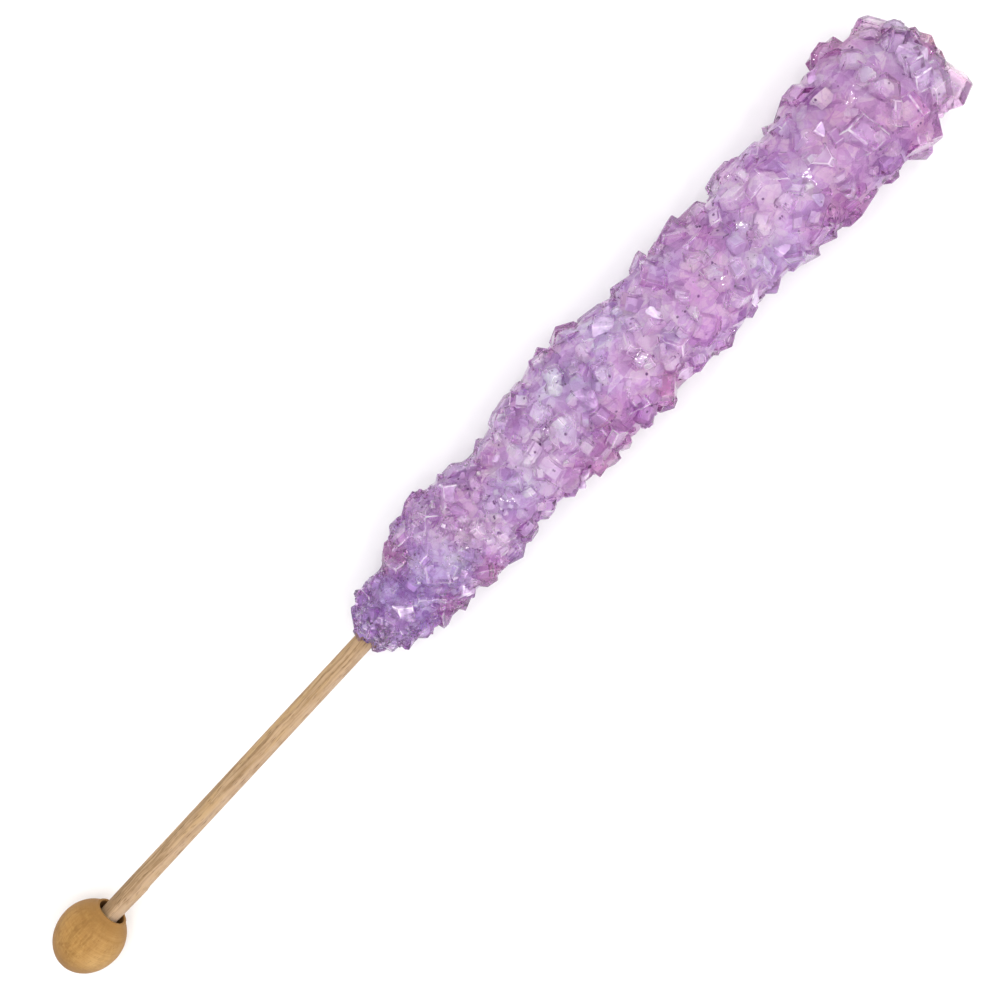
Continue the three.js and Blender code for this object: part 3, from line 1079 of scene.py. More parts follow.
@dataclass
class TurnedBall:
    """The ball: turned a little egg-shaped, with a lip round its drilled hole."""

    lay: Lay
    front: float = 5.1
    neck_radius: float = 2.6
    lip_radius: float = 2.35
    lip_reach: float = 4.7
    lip_round: float = 0.2
    hole_radius: float = 1.95
    hole_depth: float = 4.2
    segments: int = 96
    rings: int = 64
    smooth_under: float = math.radians(40)

    def build(self) -> None:
        """Model the ball."""
        radius = self.lay.ball_radius
        neck_along = self.front * math.sqrt(1 - (self.neck_radius / radius) ** 2)
        ball = Workbench.primitive(
            bpy.ops.mesh.primitive_uv_sphere_add,
            "turned_ball",
            segments=self.segments,
            ring_count=self.rings,
            radius=radius,
            rotation=(0, math.pi / 2, 0),
        )
        bpy.ops.object.transform_apply(location=False, rotation=True, scale=False)
        points = Workbench.points(ball)
        points[:, 0] *= np.where(points[:, 0] < 0, self.lay.ball_back, self.front) / radius
        Workbench.set_points(ball, points)
        bpy.ops.object.mode_set(mode="EDIT")
        bpy.ops.mesh.select_all(action="SELECT")
        bpy.ops.mesh.bisect(
            plane_co=(neck_along, 0, 0), plane_no=(1, 0, 0), use_fill=True, clear_outer=True
        )
        Workbench.pick(ball, Part.FACES, lambda face: len(face.vertices) > self.segments / 2)
        lip_start = self.lip_reach - self.lip_round
        outer = self.lip_radius + self.lip_round / 2
        self._draw_out(lip_start - neck_along, outer / self.neck_radius)
        self._draw_out(self.lip_round, self.lip_radius / outer)
        self._draw_out(0.0, (self.hole_radius + self.lip_round / 2) / self.lip_radius)
        self._draw_out(-self.lip_round, self.hole_radius / (self.hole_radius + self.lip_round / 2))
        self._draw_out(self.lip_round - self.hole_depth, 1.0)
        bpy.ops.object.mode_set(mode="OBJECT")
        Workbench.outward(ball)
        self._mark(ball)
        lean = self.lay.ball_sit - self.lay.tilt
        ball.data.transform(Matrix.Translation((-self.lay.grip_reach, 0, 0)))
        ball.data.transform(Matrix.Rotation(-lean, 4, "Y"))
        ball.data.transform(Matrix.Translation((self.lay.grip_along, 0, 0)))
        self.lay.place(ball, wooden=True)
        Workbench.take(ball)
        bpy.ops.object.shade_smooth_by_angle(angle=self.smooth_under)
        dress(ball, BALL_WOOD.material(), Slot.BALL_WOOD, "ball")

    def _mark(self, ball: bpy.types.Object) -> None:
        """Note on the mesh how far along the lathe each point was, and which are inside the hole.

        Args:
            ball: The ball, on its own middle, in millimetres.
        """
        points = Workbench.points(ball)
        from_axis = np.hypot(points[:, 1], points[:, 2])
        inside = (from_axis < self.hole_radius + self.lip_round / 4) & (points[:, 0] > 0)
        looks = {Look.TURNED: points[:, 0], Look.HOLLOW: inside.astype(float)}
        note(ball.data, Domain.POINT, looks)

    @staticmethod
    def _draw_out(along: float, shrink: float) -> None:
        """Extrude the selected end face along the ball's own axis and scale it.

        Args:
            along: How far it moves, in millimetres.
            shrink: Its new size, as a share of the old one.
        """
        bpy.ops.mesh.extrude_region_move(TRANSFORM_OT_translate={"value": (along, 0, 0)})
        bpy.ops.transform.resize(value=(1, shrink, shrink))


@dataclass
class Dowel:
    """The dowel: a straight stick with a slightly uneven skin and a splinter lifted near the ball.

    Each of its waves has a count round the stick, a pitch in radians for each millimetre along it,
    and a phase.
    """

    lay: Lay
    chamfer: float = 0.25
    sides: int = 64
    ring_step: float = 0.7
    unevenness: float = 0.012
    skin: float = 1.0
    waves: tuple[tuple[int, float, float], ...] = (
        (5, 0.11, 0.4),
        (9, 0.23, 2.1),
        (14, 0.37, 4.0),
        (23, 0.61, 1.3),
    )
    wave_stretch: float = 1.7
    splinter_along: float = 10.6
    splinter_length: float = 6.0
    splinter_lift: float = 0.14
    splinter_edge: float = 0.82
    smooth_under: float = math.radians(35)

    def build(self) -> None:
        """Model the dowel."""
        length = self.lay.dowel_end - self.lay.dowel_start
        dowel = Workbench.primitive(
            bpy.ops.mesh.primitive_cylinder_add,
            "wooden_dowel",
            vertices=self.sides,
            radius=self.lay.dowel_radius,
            depth=length,
            location=(self.lay.dowel_start + length / 2, 0, 0),
            rotation=(0, math.pi / 2, 0),
        )
        bpy.ops.object.transform_apply(location=True, rotation=True, scale=False)
        bpy.ops.object.mode_set(mode="EDIT")
        Workbench.pick(dowel, Part.FACES, lambda face: len(face.vertices) == self.sides)
        bpy.ops.mesh.bevel(offset=self.chamfer, segments=2, affect="EDGES")
        for step in range(1, round(length / self.ring_step)):
            bpy.ops.mesh.select_all(action="SELECT")
            place = (self.lay.dowel_start + step * self.ring_step, 0, 0)
            bpy.ops.mesh.bisect(plane_co=place, plane_no=(1, 0, 0))
        bpy.ops.object.mode_set(mode="OBJECT")
        self._roughen(dowel)
        Workbench.outward(dowel)
        self.lay.place(dowel, wooden=True)
        Workbench.take(dowel)
        bpy.ops.object.shade_smooth_by_angle(angle=self.smooth_under)
        dress(dowel, DOWEL_WOOD.material(), Slot.DOWEL_WOOD, "dowel")

    def _roughen(self, dowel: bpy.types.Object) -> None:
        """Make the skin uneven along the fibres and lift the splinter.

        Args:
            dowel: The dowel, in millimetres along the axis.
        """
        points = Workbench.points(dowel)
        along, left, up = points.T
        turn = np.arctan2(up, left)
        radius = np.hypot(left, up)
        waves = np.zeros_like(turn)
        for count, pitch, phase in self.waves:
            ripple = np.sin(count * turn + pitch * along + phase)
            waves += ripple * np.sin(pitch * along * self.wave_stretch + phase)
        wear_and_low_shade = radius - self.unevenness * (0.5 + waves / (2 * len(self.waves)))
        radius = np.where(radius > self.skin, wear_and_low_shade, radius)
        near = np.clip((self.splinter_along - along) / self.splinter_length, 0, 1)
        side = np.clip(np.cos(turn - math.pi) - self.splinter_edge, 0, 1) / (1 - self.splinter_edge)
        radius = radius + self.splinter_lift * side * (1 - near) * (near > 0)
        points[:, 1] = radius * np.cos(turn)
        points[:, 2] = radius * np.sin(turn)
        Workbench.set_points(dowel, points)


# ------------------------------------------------------------------------------------------------
# The sugar
# ------------------------------------------------------------------------------------------------


class Draws:
    """A seeded source of draws."""

    FACTOR = 1664525
    STEP = 1013904223
    SPAN = 2**32

    def __init__(self, seed: int) -> None:
        """Start the source.

        Args:
            seed: The first state.
        """
        self.state = seed

    def __call__(self, low: float, high: float) -> float:
        """Draw a number between low and high."""
        self.state = (self.state * self.FACTOR + self.STEP) % self.SPAN
        return low + (high - low) * (self.state / self.SPAN)

    def skip(self, count: int) -> None:
        """Leave out some draws.

        Args:
            count: How many.
        """
        for _ in range(count):
            self(0, 1)


# How far the sugar reaches from the axis at each swelling and waist: along, left, right, top, under.
GIRTH = np.array(
    [
        (58, 6.3, 5.3, 5.6, 5.6),
        (63, 5.6, 6.7, 6.2, 6.2),
        (68, 8.6, 7.4, 7.6, 6.9),
        (73, 9.1, 7.9, 8.2, 7.2),
        (83, 7.7, 7.1, 7.3, 7.0),
        (90, 9.1, 7.9, 8.2, 7.7),
        (98, 10.2, 8.4, 8.9, 8.0),
        (104, 9.8, 8.8, 9.1, 8.2),
        (110, 8.5, 8.6, 8.5, 8.4),
        (118, 9.3, 8.9, 8.9, 8.6),
        (128, 8.0, 8.4, 8.2, 8.2),
        (133, 9.2, 9.3, 9.0, 9.0),
        (140, 8.9, 9.6, 8.8, 9.3),
        (146, 9.5, 10.0, 9.3, 9.7),
        (153, 10.5, 10.7, 10.3, 10.4),
        (158, 9.7, 9.5, 9.4, 9.6),
    ]
)

# The size of the crystals: along, size.
GRAIN = np.array([(55, 2.8), (70, 3.9), (100, 4.8), (165, 6.0)])


@dataclass(frozen=True)
class Outline:
    """How far the sugar reaches to each side of the axis, seen from above, at every step along it."""

    first: float
    step: float
    left: tuple[float, ...]
    right: tuple[float, ...]

    def reach(self, side: tuple[float, ...], along: np.ndarray) -> np.ndarray:
        """One side's reach.

        Args:
            side: The outline's left or right.
            along: Where to read.

        Returns:
            The reach at each place, in millimetres.
        """
        return np.interp(along, self.first + self.step * np.arange(len(side)), side)

    def side_step(self, points: np.ndarray, slack: float) -> float:
        """How far points have to move sideways, together, to lie inside.

        Args:
            points: The points, one a row.
            slack: How far a point may stand out.

        Returns:
            The move to the left, in millimetres.
        """
        along, left, _ = points.T
        too_left = (left - self.reach(self.left, along)).max() - slack
        too_right = (-left - self.reach(self.right, along)).max() - slack
        return float(max(too_right, 0) - max(too_left, 0))


OUTLINE = Outline(
    first=55,
    step=3,
    left=(
        *(2.1, 5, 5.8, 5.3, 7.5, 8.3, 8.9, 8.1, 7.6, 7.2, 7.2, 7.8, 8.8, 8.5, 9.6, 9.7, 9.8, 8.5, 8.3),
        *(7.8, 8, 8.8, 9.1, 8.6, 7.8, 7.8, 8.9, 8.5, 7, 8.4, 8.8, 8.7, 9.5, 10.2, 8.9, 9, 5.3),
    ),
    right=(
        *(2.1, 4.8, 5.5, 6.5, 6.8, 6.2, 7.4, 7.5, 7.5, 6.8, 6.2, 6.9, 7.6, 8.2, 8, 7.6, 8.2, 8.6, 8),
        *(8.2, 8.1, 8.8, 7.9, 8.1, 8, 7.6, 9, 8.6, 9.3, 9.2, 8.9, 9.3, 10, 10.7, 9.7, 8.9, 9.3),
    ),
)


def between(rows: np.ndarray, along: float, column: int) -> float:
    """Read a table between its rows, eased from row to row.

    Args:
        rows: The table, sorted by its first column.
        along: Where to read.
        column: What to read.

    Returns:
        The value.
    """
    if along <= rows[0, 0]:
        return float(rows[0, column])
    if along >= rows[-1, 0]:
        return float(rows[-1, column])
    after = int(np.searchsorted(rows[:, 0], along, side="right"))
    low, high = rows[after - 1], rows[after]
    share = (along - low[0]) / (high[0] - low[0])
    eased = share * share * (3 - 2 * share)
    return float(low[column] + (high[column] - low[column]) * eased)


def girth_at(along: float, turn: float) -> float:
    """How far the sugar reaches from the axis.

    Args:
        along: The place on the axis.
        turn: Angle from the left side towards the top.

    Returns:
        The reach, in millimetres.
    """
    side = between(GIRTH, along, 1 if math.cos(turn) > 0 else 2)
    upright = between(GIRTH, along, 3 if math.sin(turn) > 0 else 4)
    return side * math.cos(turn) ** 2 + upright * math.sin(turn) ** 2


@dataclass(frozen=True)
class Seat:
    """Where a crystal sits, and how large it is. Its lean and spin may be left to a draw."""

    along: float
    turn: float
    pitch: float
    reach: float
    size: float
    lean: float | None = None
    spin: float | None = None


def proud(
    along: float, turn: float, pitch: float, reach: float, size: float, lean: float, spin: float
) -> Seat:
    """The seat of a crystal that stands out from the rest, with its angles in degrees."""
    angles = [math.radians(angle) for angle in (turn, pitch, lean, spin)]
    return Seat(along, angles[0], angles[1], reach, size, angles[2], angles[3])


PROUD_CRYSTALS = [
    proud(66.5, 5, 0, 8.3, 3.8, -35, 30),
    proud(72, 10, 0, 9.3, 4.6, 60, 70),
    proud(90, -6, 0, 9.3, 5.0, 30, 20),
    proud(97.5, 8, 0, 10.4, 6.2, 55, 80),
    proud(103, -4, 0, 10.2, 5.6, -20, 50),
    proud(121.5, 6, 0, 9.7, 6.6, 75, 85),
    proud(132.5, 10, 0, 9.5, 6.4, 40, 15),
    proud(145, -3, 0, 9.6, 6.4, 65, 35),
    proud(153, 5, 0, 10.8, 6.6, 50, 60),
    proud(156, 8, 26, 10.4, 6.8, 35, 75),
    proud(134, 72, 0, 9.6, 6.6, 70, 5),
    proud(67.5, 178, 0, 7.5, 3.8, 20, 80),
    proud(77, 184, 0, 8.0, 5.0, 30, 65),
    proud(94, 181, 0, 8.4, 5.2, 70, 75),
    proud(105.5, 176, 0, 9.3, 5.8, -25, 55),
    proud(117, 183, 0, 9.2, 5.4, 65, 10),
    proud(131.5, 184, 0, 9.3, 6.0, 60, 85),
    proud(139.5, 178, 0, 9.8, 6.0, 45, 40),
    proud(153.5, 182, 0, 11.0, 6.4, -40, 25),
    proud(155.5, 178, 42, 12.0, 6.6, 20, 20),
    proud(153, 262, 0, 10.8, 6.4, 90, 0),
    proud(150, 284, 0, 11.2, 6.0, 90, 0),
]


@dataclass(frozen=True)
class DyePatch:
    """A place on the rod with more dye than elsewhere, or with less where its strength is below 0.

    It has its full strength out to a share of its reach, and fades over one reach more.
    """

    along: float
    left: float
    reach: float
    strength: float
    full: float = 0.7

    def share(self, along: float, left: float) -> float:
        """How strongly it colours a crystal at a place."""
        gap = math.hypot(along - self.along, left - self.left) / self.reach
        return self.strength * min(max(1 + self.full - gap, 0.0), 1.0)


DYE_PATCHES = (
    DyePatch(65.7, 4.9, 1.9, 0.9),
    DyePatch(66.5, -4.6, 1.4, 0.7),
    DyePatch(71.3, 8.6, 1.3, 0.5),
    DyePatch(73.1, -6.6, 2.0, 0.8),
    DyePatch(78.0, 8.0, 6.5, 0.2),
    DyePatch(91.6, -6.5, 2.2, 0.6),
    DyePatch(95.0, 9.0, 6.5, 0.2),
    DyePatch(98.0, -6.5, 4.0, 0.5),
    DyePatch(107.8, -7.0, 2.0, 1.0),
    DyePatch(122.7, 9.2, 1.3, 1.0),
    DyePatch(123.5, -6.9, 1.6, 0.4),
    DyePatch(125.0, 9.0, 10.0, 0.15),
    DyePatch(133.5, -7.9, 1.6, 0.5),
    DyePatch(139.4, -7.1, 2.1, 0.5),
    DyePatch(145.0, 9.0, 8.0, 0.2),
    DyePatch(154.4, 9.2, 1.7, 1.0),
    DyePatch(155.5, -8.6, 1.3, 0.7),
    DyePatch(56.2, 3.4, 1.3, -1.0),
    DyePatch(56.0, -2.4, 1.3, -0.8),
    DyePatch(87.7, 0.3, 2.5, -0.9),
    DyePatch(95.3, 2.5, 3.0, -0.7),
    DyePatch(110.1, 1.7, 2.0, -0.5),
    DyePatch(125.5, -3.0, 2.4, -0.7),
    DyePatch(132.4, -0.6, 3.2, -0.7),
    DyePatch(134.1, 4.1, 2.0, -1.0),
    DyePatch(160.1, 6.6, 1.2, -1.0),
)


def dye_at(along: float, left: float) -> float:
    """How much more or less dye than elsewhere a place on the rod has, from -1 to 1."""
    total = sum(patch.share(along, left) for patch in DYE_PATCHES)
    return min(max(total, -1.0), 1.0)


@dataclass(frozen=True)
class Habit:
    """The form of a sugar crystal: a leaning block with a chisel at each end.

    Its length, width and thickness are shares of its size, its ridge lies off the middle by a share
    of its width, and it leans from straight outwards by its growth, in degrees.
    """

    length: Span = (0.85, 1.3)
    width: Span = (0.6, 0.92)
    thickness: Span = (0.39, 0.7)
    ridge: Span = (-0.3, 0.3)
    shoulder: float = 0.16
    block_lean: float = math.radians(102.9 - 90)
    chisel: float = math.radians(39.4)
    growth: Span = (8.0, 82.0)


@dataclass(frozen=True)
class Form:
    """A crystal's drawn proportions, in millimetres."""

    length: float
    width: float
    thickness: float
    ridge: float

    def shaped(self, cube: np.ndarray, habit: Habit) -> np.ndarray:
        """Turn points of the model crystal's cube, from -1 to 1, into this crystal's own.

        Args:
            cube: The points, one a row.
            habit: The crystal's habit.

        Returns:
            Points in millimetres on the crystal's own middle, long along Y.
        """
        across, along, through = cube.T
        edge = self.ridge * self.width
        half = self.width / 2
        wing = np.where(across < 0, half + edge, half - edge)
        sloped = self.length / 2 - wing * math.tan(habit.chisel)
        shoulder = np.maximum(sloped, self.length * habit.shoulder)
        reach = self.length / 2 + (shoulder - self.length / 2) * np.abs(across)
        lean = math.tan(habit.block_lean) * self.thickness / 2
        sideways = edge + across * wing + through * lean
        return np.column_stack((sideways, along * reach, through * self.thickness / 2))

    def shrunk(self, share: float) -> "Form":
        """The same form at a share of its size."""
        return Form(self.length * share, self.width * share, self.thickness * share, self.ridge)


class CrystalModel:
    """The crystal that all others are copies of, modelled once on a cube from -1 to 1."""

    CORNERS = np.array([(x, y, z) for z in (-1, 1) for x in (-1, 0, 1) for y in (1, -1)], float)
    NEAR = 0.01  # places closer than this are the same

    def __init__(self, rounding: float, segments: int) -> None:
        """Model it.

        Args:
            rounding: Width of the bevel on its edges, as a share of half its size.
            segments: Faces across the bevel, or 0 for sharp edges.
        """
        cube = Workbench.primitive(bpy.ops.mesh.primitive_cube_add, "crystal_model", size=2)
        bpy.ops.object.mode_set(mode="EDIT")
        bpy.ops.mesh.select_all(action="SELECT")
        bpy.ops.mesh.bisect(plane_co=(0, 0, 0), plane_no=(1, 0, 0))
        if segments:
            Workbench.pick(cube, Part.EDGES, lambda edge: self._is_crest(cube.data, edge))
            bpy.ops.mesh.bevel(offset=rounding, segments=segments, affect="EDGES")
        bpy.ops.object.mode_set(mode="OBJECT")
        Workbench.outward(cube)
        self.points = Workbench.points(cube)
        self.faces = [tuple(face.vertices) for face in cube.data.polygons]
        corners = [self.points[list(face)] for face in self.faces]
        self.crests = [float(self._on_crest(face, rounding)) for face in corners]
        bpy.data.objects.remove(cube)

    @classmethod
    def _on_crest(cls, corners: np.ndarray, rounding: float) -> bool:
        """Whether a face belongs to the bevel of an edge, and not to a side of the crystal.

        Args:
            corners: The face's corners, one a row.
            rounding: Width of the bevel.

        Returns:
            True on a bevel.
        """
        on_side = (np.abs(corners) > 1 - cls.NEAR).all(axis=0).any()
        on_ridge = (np.abs(corners[:, 0]) < rounding + cls.NEAR).all()
        return bool(on_ridge or not on_side)

    @classmethod
    def _is_crest(cls, mesh: bpy.types.Mesh, edge: bpy.types.MeshEdge) -> bool:
        """Whether two sloping faces meet in an edge.

        Args:
            mesh: The cube's mesh, cut in half.
            edge: One of its edges.

        Returns:
            False for the edges that the cut has left on the two broad faces.
        """
        first, second = (mesh.vertices[index].co for index in edge.vertices)
        on_cut = max(abs(first.x), abs(second.x)) < cls.NEAR
        return not (on_cut and abs(first.y - second.y) > cls.NEAR)


@dataclass(frozen=True)
class Crystal:
    """A crystal that is ready to be made: its turn, its middle and its form."""

    turn: Quaternion
    middle: Vector
    form: Form

    def points(self, cube: np.ndarray, habit: Habit) -> np.ndarray:
        """Its points in millimetres along the axis.

        Args:
            cube: Points on the model's cube.
            habit: The crystal's habit.

        Returns:
            The points, one a row.
        """
        turned = self.form.shaped(cube, habit) @ np.array(self.turn.to_matrix()).T
        return turned + np.array(self.middle)


@dataclass(frozen=True)
class Coat:
    """One coat of crystals over the rod, in rings along it and over both round ends.

    Steps and jitters are shares of a crystal's size or of a step. A crystal may stay short of the
    sugar's reach by its shyness, lies sunk below it, and may stand out of the outline by the slack.
    """

    seed: int
    skipped_draws: int = 0
    grain_share: float = 1.0
    ring_step: float = 0.98
    turn_step: float = 1.28
    sizes: Span = (0.68, 1.32)
    shyness: float = 0.1
    sunk: float = 0.0
    slack: float = 0.4
    turn_jitter: float = 0.3
    pitch_jitter: float = 0.08
    until: float = math.inf
    cloudy_share: float = 0.06
    heel_middle: float = 59.0
    heel_reach: float = 4.6
    tip_middle: float = 156.0
    tip_reach: float = 8.6
    habit: Habit = field(default_factory=Habit)

    def grain_at(self, along: float) -> float:
        """The size of this coat's crystals, in millimetres."""
        return between(GRAIN, along, 1) * self.grain_share

    def _ring(
        self, draw: Draws, along: float, pitch: float, reach_at: Callable[[float], float], size: float
    ) -> Iterator[Seat]:
        """The seats of one ring.

        Args:
            draw: The source of draws.
            along: The ring's middle.
            pitch: How far its crystals point towards the tip, in radians.
            reach_at: How far the sugar reaches at a turn.
            size: The crystals' size.

        Yields:
            The seats.
        """
        girth = 2 * math.pi * reach_at(0) * math.cos(pitch)
        count = max(1, math.floor(girth / (size * self.turn_step) + 0.5))
        first = draw(0, 2 * math.pi)
        for step in range(count):
            jitter = draw(-self.turn_jitter, self.turn_jitter)
            turn = first + (step + jitter) / count * 2 * math.pi
            tipped = pitch + draw(-self.pitch_jitter, self.pitch_jitter)
            yield Seat(along, turn, tipped, reach_at(turn), size)

    def seats(self, draw: Draws) -> list[Seat]:
        """All seats: along the body, and then over both round ends.

        Args:
            draw: The source of draws.

        Returns:
            The seats.
        """
        found: list[Seat] = []
        along = self.heel_middle
        while along < min(self.tip_middle, self.until):
            here = along
            size = self.grain_at(here)
            found += self._ring(draw, here, 0, lambda turn: girth_at(here, turn), size)
            along += size * self.ring_step
        ends = ((self.heel_middle, self.heel_reach, -1), (self.tip_middle, self.tip_reach, 1))
        for middle, end_reach, way in ends:
            if middle > self.until:
                continue
            size = self.grain_at(middle)
            steps = math.floor(math.pi * girth_at(middle, 0) / (2 * size * self.ring_step) + 0.5)
            for step in range(1, steps + 1):
                pitch = step / steps * math.pi / 2
                side = math.cos(pitch) ** 2

                def reach_at(turn: float) -> float:
                    """The reach on the round end."""
                    return girth_at(middle, turn) * side + end_reach * (1 - side)

                found += self._ring(draw, middle, way * pitch, reach_at, size)
        return found

    def crystal(self, draw: Draws, seat: Seat) -> Crystal:
        """The crystal on a seat, moved so that its farthest corner is at the seat's reach.

        Args:
            draw: The source of draws.
            seat: The seat.

        Returns:
            The crystal.
        """
        direction = Vector(
            (
                math.sin(seat.pitch),
                math.cos(seat.turn) * math.cos(seat.pitch),
                math.sin(seat.turn) * math.cos(seat.pitch),
            )
        )
        if seat.lean is None:
            lean = math.radians(draw(*self.habit.growth))
            side = draw(0, 2 * math.pi)
            across = Quaternion(direction, side) @ Vector((1, 0, 0)).cross(direction).normalized()
            growth = direction * math.cos(lean) + across * math.sin(lean)
        else:
            axle = direction.cross(Vector((1, 0, 0))).normalized()
            growth = Quaternion(axle, seat.lean) @ direction
        spin = draw(0, math.pi) if seat.spin is None else seat.spin
        form = Form(
            seat.size * draw(*self.habit.length),
            seat.size * draw(*self.habit.width),
            seat.size * draw(*self.habit.thickness),
            draw(*self.habit.ridge),
        )
        y_axis = Vector((0, 1, 0))
        turn = y_axis.rotation_difference(growth) @ Quaternion(y_axis, spin)
        on_own_middle = Crystal(turn, Vector(), form)
        corners = on_own_middle.points(CrystalModel.CORNERS, self.habit)
        farthest = max(0.0, float((corners @ np.array(direction)).max()))
        middle = Vector((seat.along, 0, 0)) + direction * (seat.reach - farthest)
        middle.y += OUTLINE.side_step(corners + np.array(middle), self.slack)
        return Crystal(turn, middle, form)

    def crystals(self, extra: Sequence[Seat] = ()) -> list[Crystal]:
        """All crystals of the coat.

        Args:
            extra: More seats, after the coat's own.

        Returns:
            The crystals.
        """
        draw = Draws(self.seed)
        draw.skip(self.skipped_draws)
        grown = []
        for seat in self.seats(draw):
            size = seat.size * draw(*self.sizes)
            reach = seat.reach * (1 - self.shyness * draw(0, 1) ** 2) - self.sunk
            grown.append(self.crystal(draw, Seat(seat.along, seat.turn, seat.pitch, reach, size)))
        return grown + [self.crystal(draw, seat) for seat in extra]


@dataclass(frozen=True)
class Batch:
    """The crystals of a coat and the model that they are copied from."""

    coat: Coat
    model: CrystalModel
    crystals: list[Crystal]

    def shrunk(self, model: CrystalModel, share: float) -> "Batch":
        """The same crystals, each shrunk about its own middle.

        Args:
            model: The model that the shrunk ones are copied from.
            share: Their new size, as a share of the old one.

        Returns:
            The shrunk crystals.
        """
        small = [Crystal(grown.turn, grown.middle, grown.form.shrunk(share)) for grown in self.crystals]
        return Batch(self.coat, model, small)


@dataclass
class FaceLooks:
    """Draws how crystals look and notes it on their faces.

    Every face has its own tone. The cloudiness, the dye and the strength of the painted highlight
    on the bevelled edges go for a whole crystal, and a strength drawn below 0 leaves its edges as
    clear as the rest.
    """

    seed: int = 4
    core_tones: Span = (0.1, 0.9)
    core_milk: float = 0.08
    tone_jitter: float = 0.22
    # The strength of the painted highlight on a crystal's bevelled edges.
    highlight_strength: Span = (-0.4, 1)
    clear_milk: Span = (0, 0.2)
    cloudy_milk: Span = (0.4, 0.9)

    def __post_init__(self) -> None:
        """Start the source of draws."""
        self.draw = Draws(self.seed)

    def note_core(self, mesh: bpy.types.Mesh) -> None:
        """Note how the facets of a core look.

        Args:
            mesh: The core's mesh, in millimetres along the axis.
        """
        facets = [face.center for face in mesh.polygons]
        looks = {
            Look.TONE: [self.draw(*self.core_tones) for _ in facets],
            Look.MILK: [self.core_milk] * len(facets),
            Look.CREST: [0.0] * len(facets),
            Look.DYE: [dye_at(middle.x, middle.y) for middle in facets],
        }
        note(mesh, Domain.FACE, looks)

    def note_crystal(self, mesh: bpy.types.Mesh, batch: Batch, crystal: Crystal) -> None:
        """Note how the faces of a crystal look.

        Args:
            mesh: The crystal's mesh.
            batch: The batch that the crystal is in.
            crystal: The crystal.
        """
        tone = self.draw(0, 1)
        cloudy = self.draw(0, 1) < batch.coat.cloudy_share
        # How strongly the painted highlight shows on this crystal's bevelled edges.
        highlight_strength = max(self.draw(*self.highlight_strength), 0.0)
        milk = self.draw(*(self.cloudy_milk if cloudy else self.clear_milk))
        jitter = self.tone_jitter
        count = len(batch.model.faces)
        looks = {
            Look.TONE: [tone + self.draw(-jitter, jitter) for _ in range(count)],
            Look.MILK: [milk] * count,
            Look.CREST: [crest * highlight_strength for crest in batch.model.crests],
            Look.DYE: [dye_at(crystal.middle.x, crystal.middle.y)] * count,
        }
        note(mesh, Domain.FACE, looks)


@dataclass(frozen=True)
class Core:
    """The faceted solid that crystals stand on.

    It lies below the sugar's reach by a share of the crystals' size, its corners are moved by up to
    its roughness, and they stay inside the outline by its inset. It goes a share of the way into each
    round end, where the last of so many equal lengths of each half is rounded off.
    """

    depth_share: float
    segments: int
    rings: int
    inset: float
    roughness: float = 0.6
    least_reach: float = 0.6
    end_share: float = 0.6
    end_lengths: int = 11
    seed: int = 31

    def build(self, name: str, coat: Coat) -> bpy.types.Object:
        """Model it.

        Args:
            name: The piece's name.
            coat: The coat of crystals that it is fitted to.

        Returns:
            The piece, in millimetres along the axis.
        """
        core = Workbench.primitive(
            bpy.ops.mesh.primitive_uv_sphere_add,
            name,
            segments=self.segments,
            ring_count=self.rings,
            radius=1.0,
            rotation=(0, math.pi / 2, 0),
        )
        bpy.ops.object.transform_apply(location=False, rotation=True, scale=False)
        Workbench.set_points(core, self._swollen(Workbench.points(core), coat))
        Workbench.outward(core)
        bpy.ops.object.mode_set(mode="EDIT")
        bpy.ops.mesh.select_all(action="SELECT")
        bpy.ops.mesh.quads_convert_to_tris(quad_method="SHORTEST_DIAGONAL")
        bpy.ops.object.mode_set(mode="OBJECT")
        return core

    def _swollen(self, points: np.ndarray, coat: Coat) -> np.ndarray:
        """Move the points of a ball of radius 1 to the form of the core.

        Args:
            points: The points, one a row.
            coat: The coat of crystals that the core is fitted to.

        Returns:
            The moved points, one a row.
        """
        first = coat.heel_middle - self.end_share * coat.heel_reach
        last = coat.tip_middle + self.end_share * coat.tip_reach
        draw = Draws(self.seed)
        share = 1 - np.arccos(np.clip(points[:, 0], -1, 1)) / math.pi
        into_end = np.abs(2 * share - 1) * self.end_lengths - (self.end_lengths - 1)
        rounding = np.sqrt(np.clip(1 - np.maximum(0, into_end) ** 2, 0, 1))
        turns = np.arctan2(points[:, 2], points[:, 1])
        places = first + (last - first) * share
        moved = np.empty_like(points)
        for index, (along, turn, round_off) in enumerate(zip(places, turns, rounding)):
            sunk = coat.grain_at(along) * self.depth_share
            depth = sunk + draw(-self.roughness, self.roughness)
            reach = max(girth_at(along, turn) - depth, self.least_reach) * round_off
            shifted = along + draw(-self.roughness, self.roughness) * round_off
            twist = draw(-self.roughness, self.roughness) * round_off / max(reach, 1.0)
            rightmost = OUTLINE.reach(OUTLINE.right, along) - self.inset
            leftmost = OUTLINE.reach(OUTLINE.left, along) - self.inset
            across = np.clip(reach * math.cos(turn + twist), -rightmost, leftmost)
            moved[index] = (shifted, across, reach * math.sin(turn + twist))
        return moved


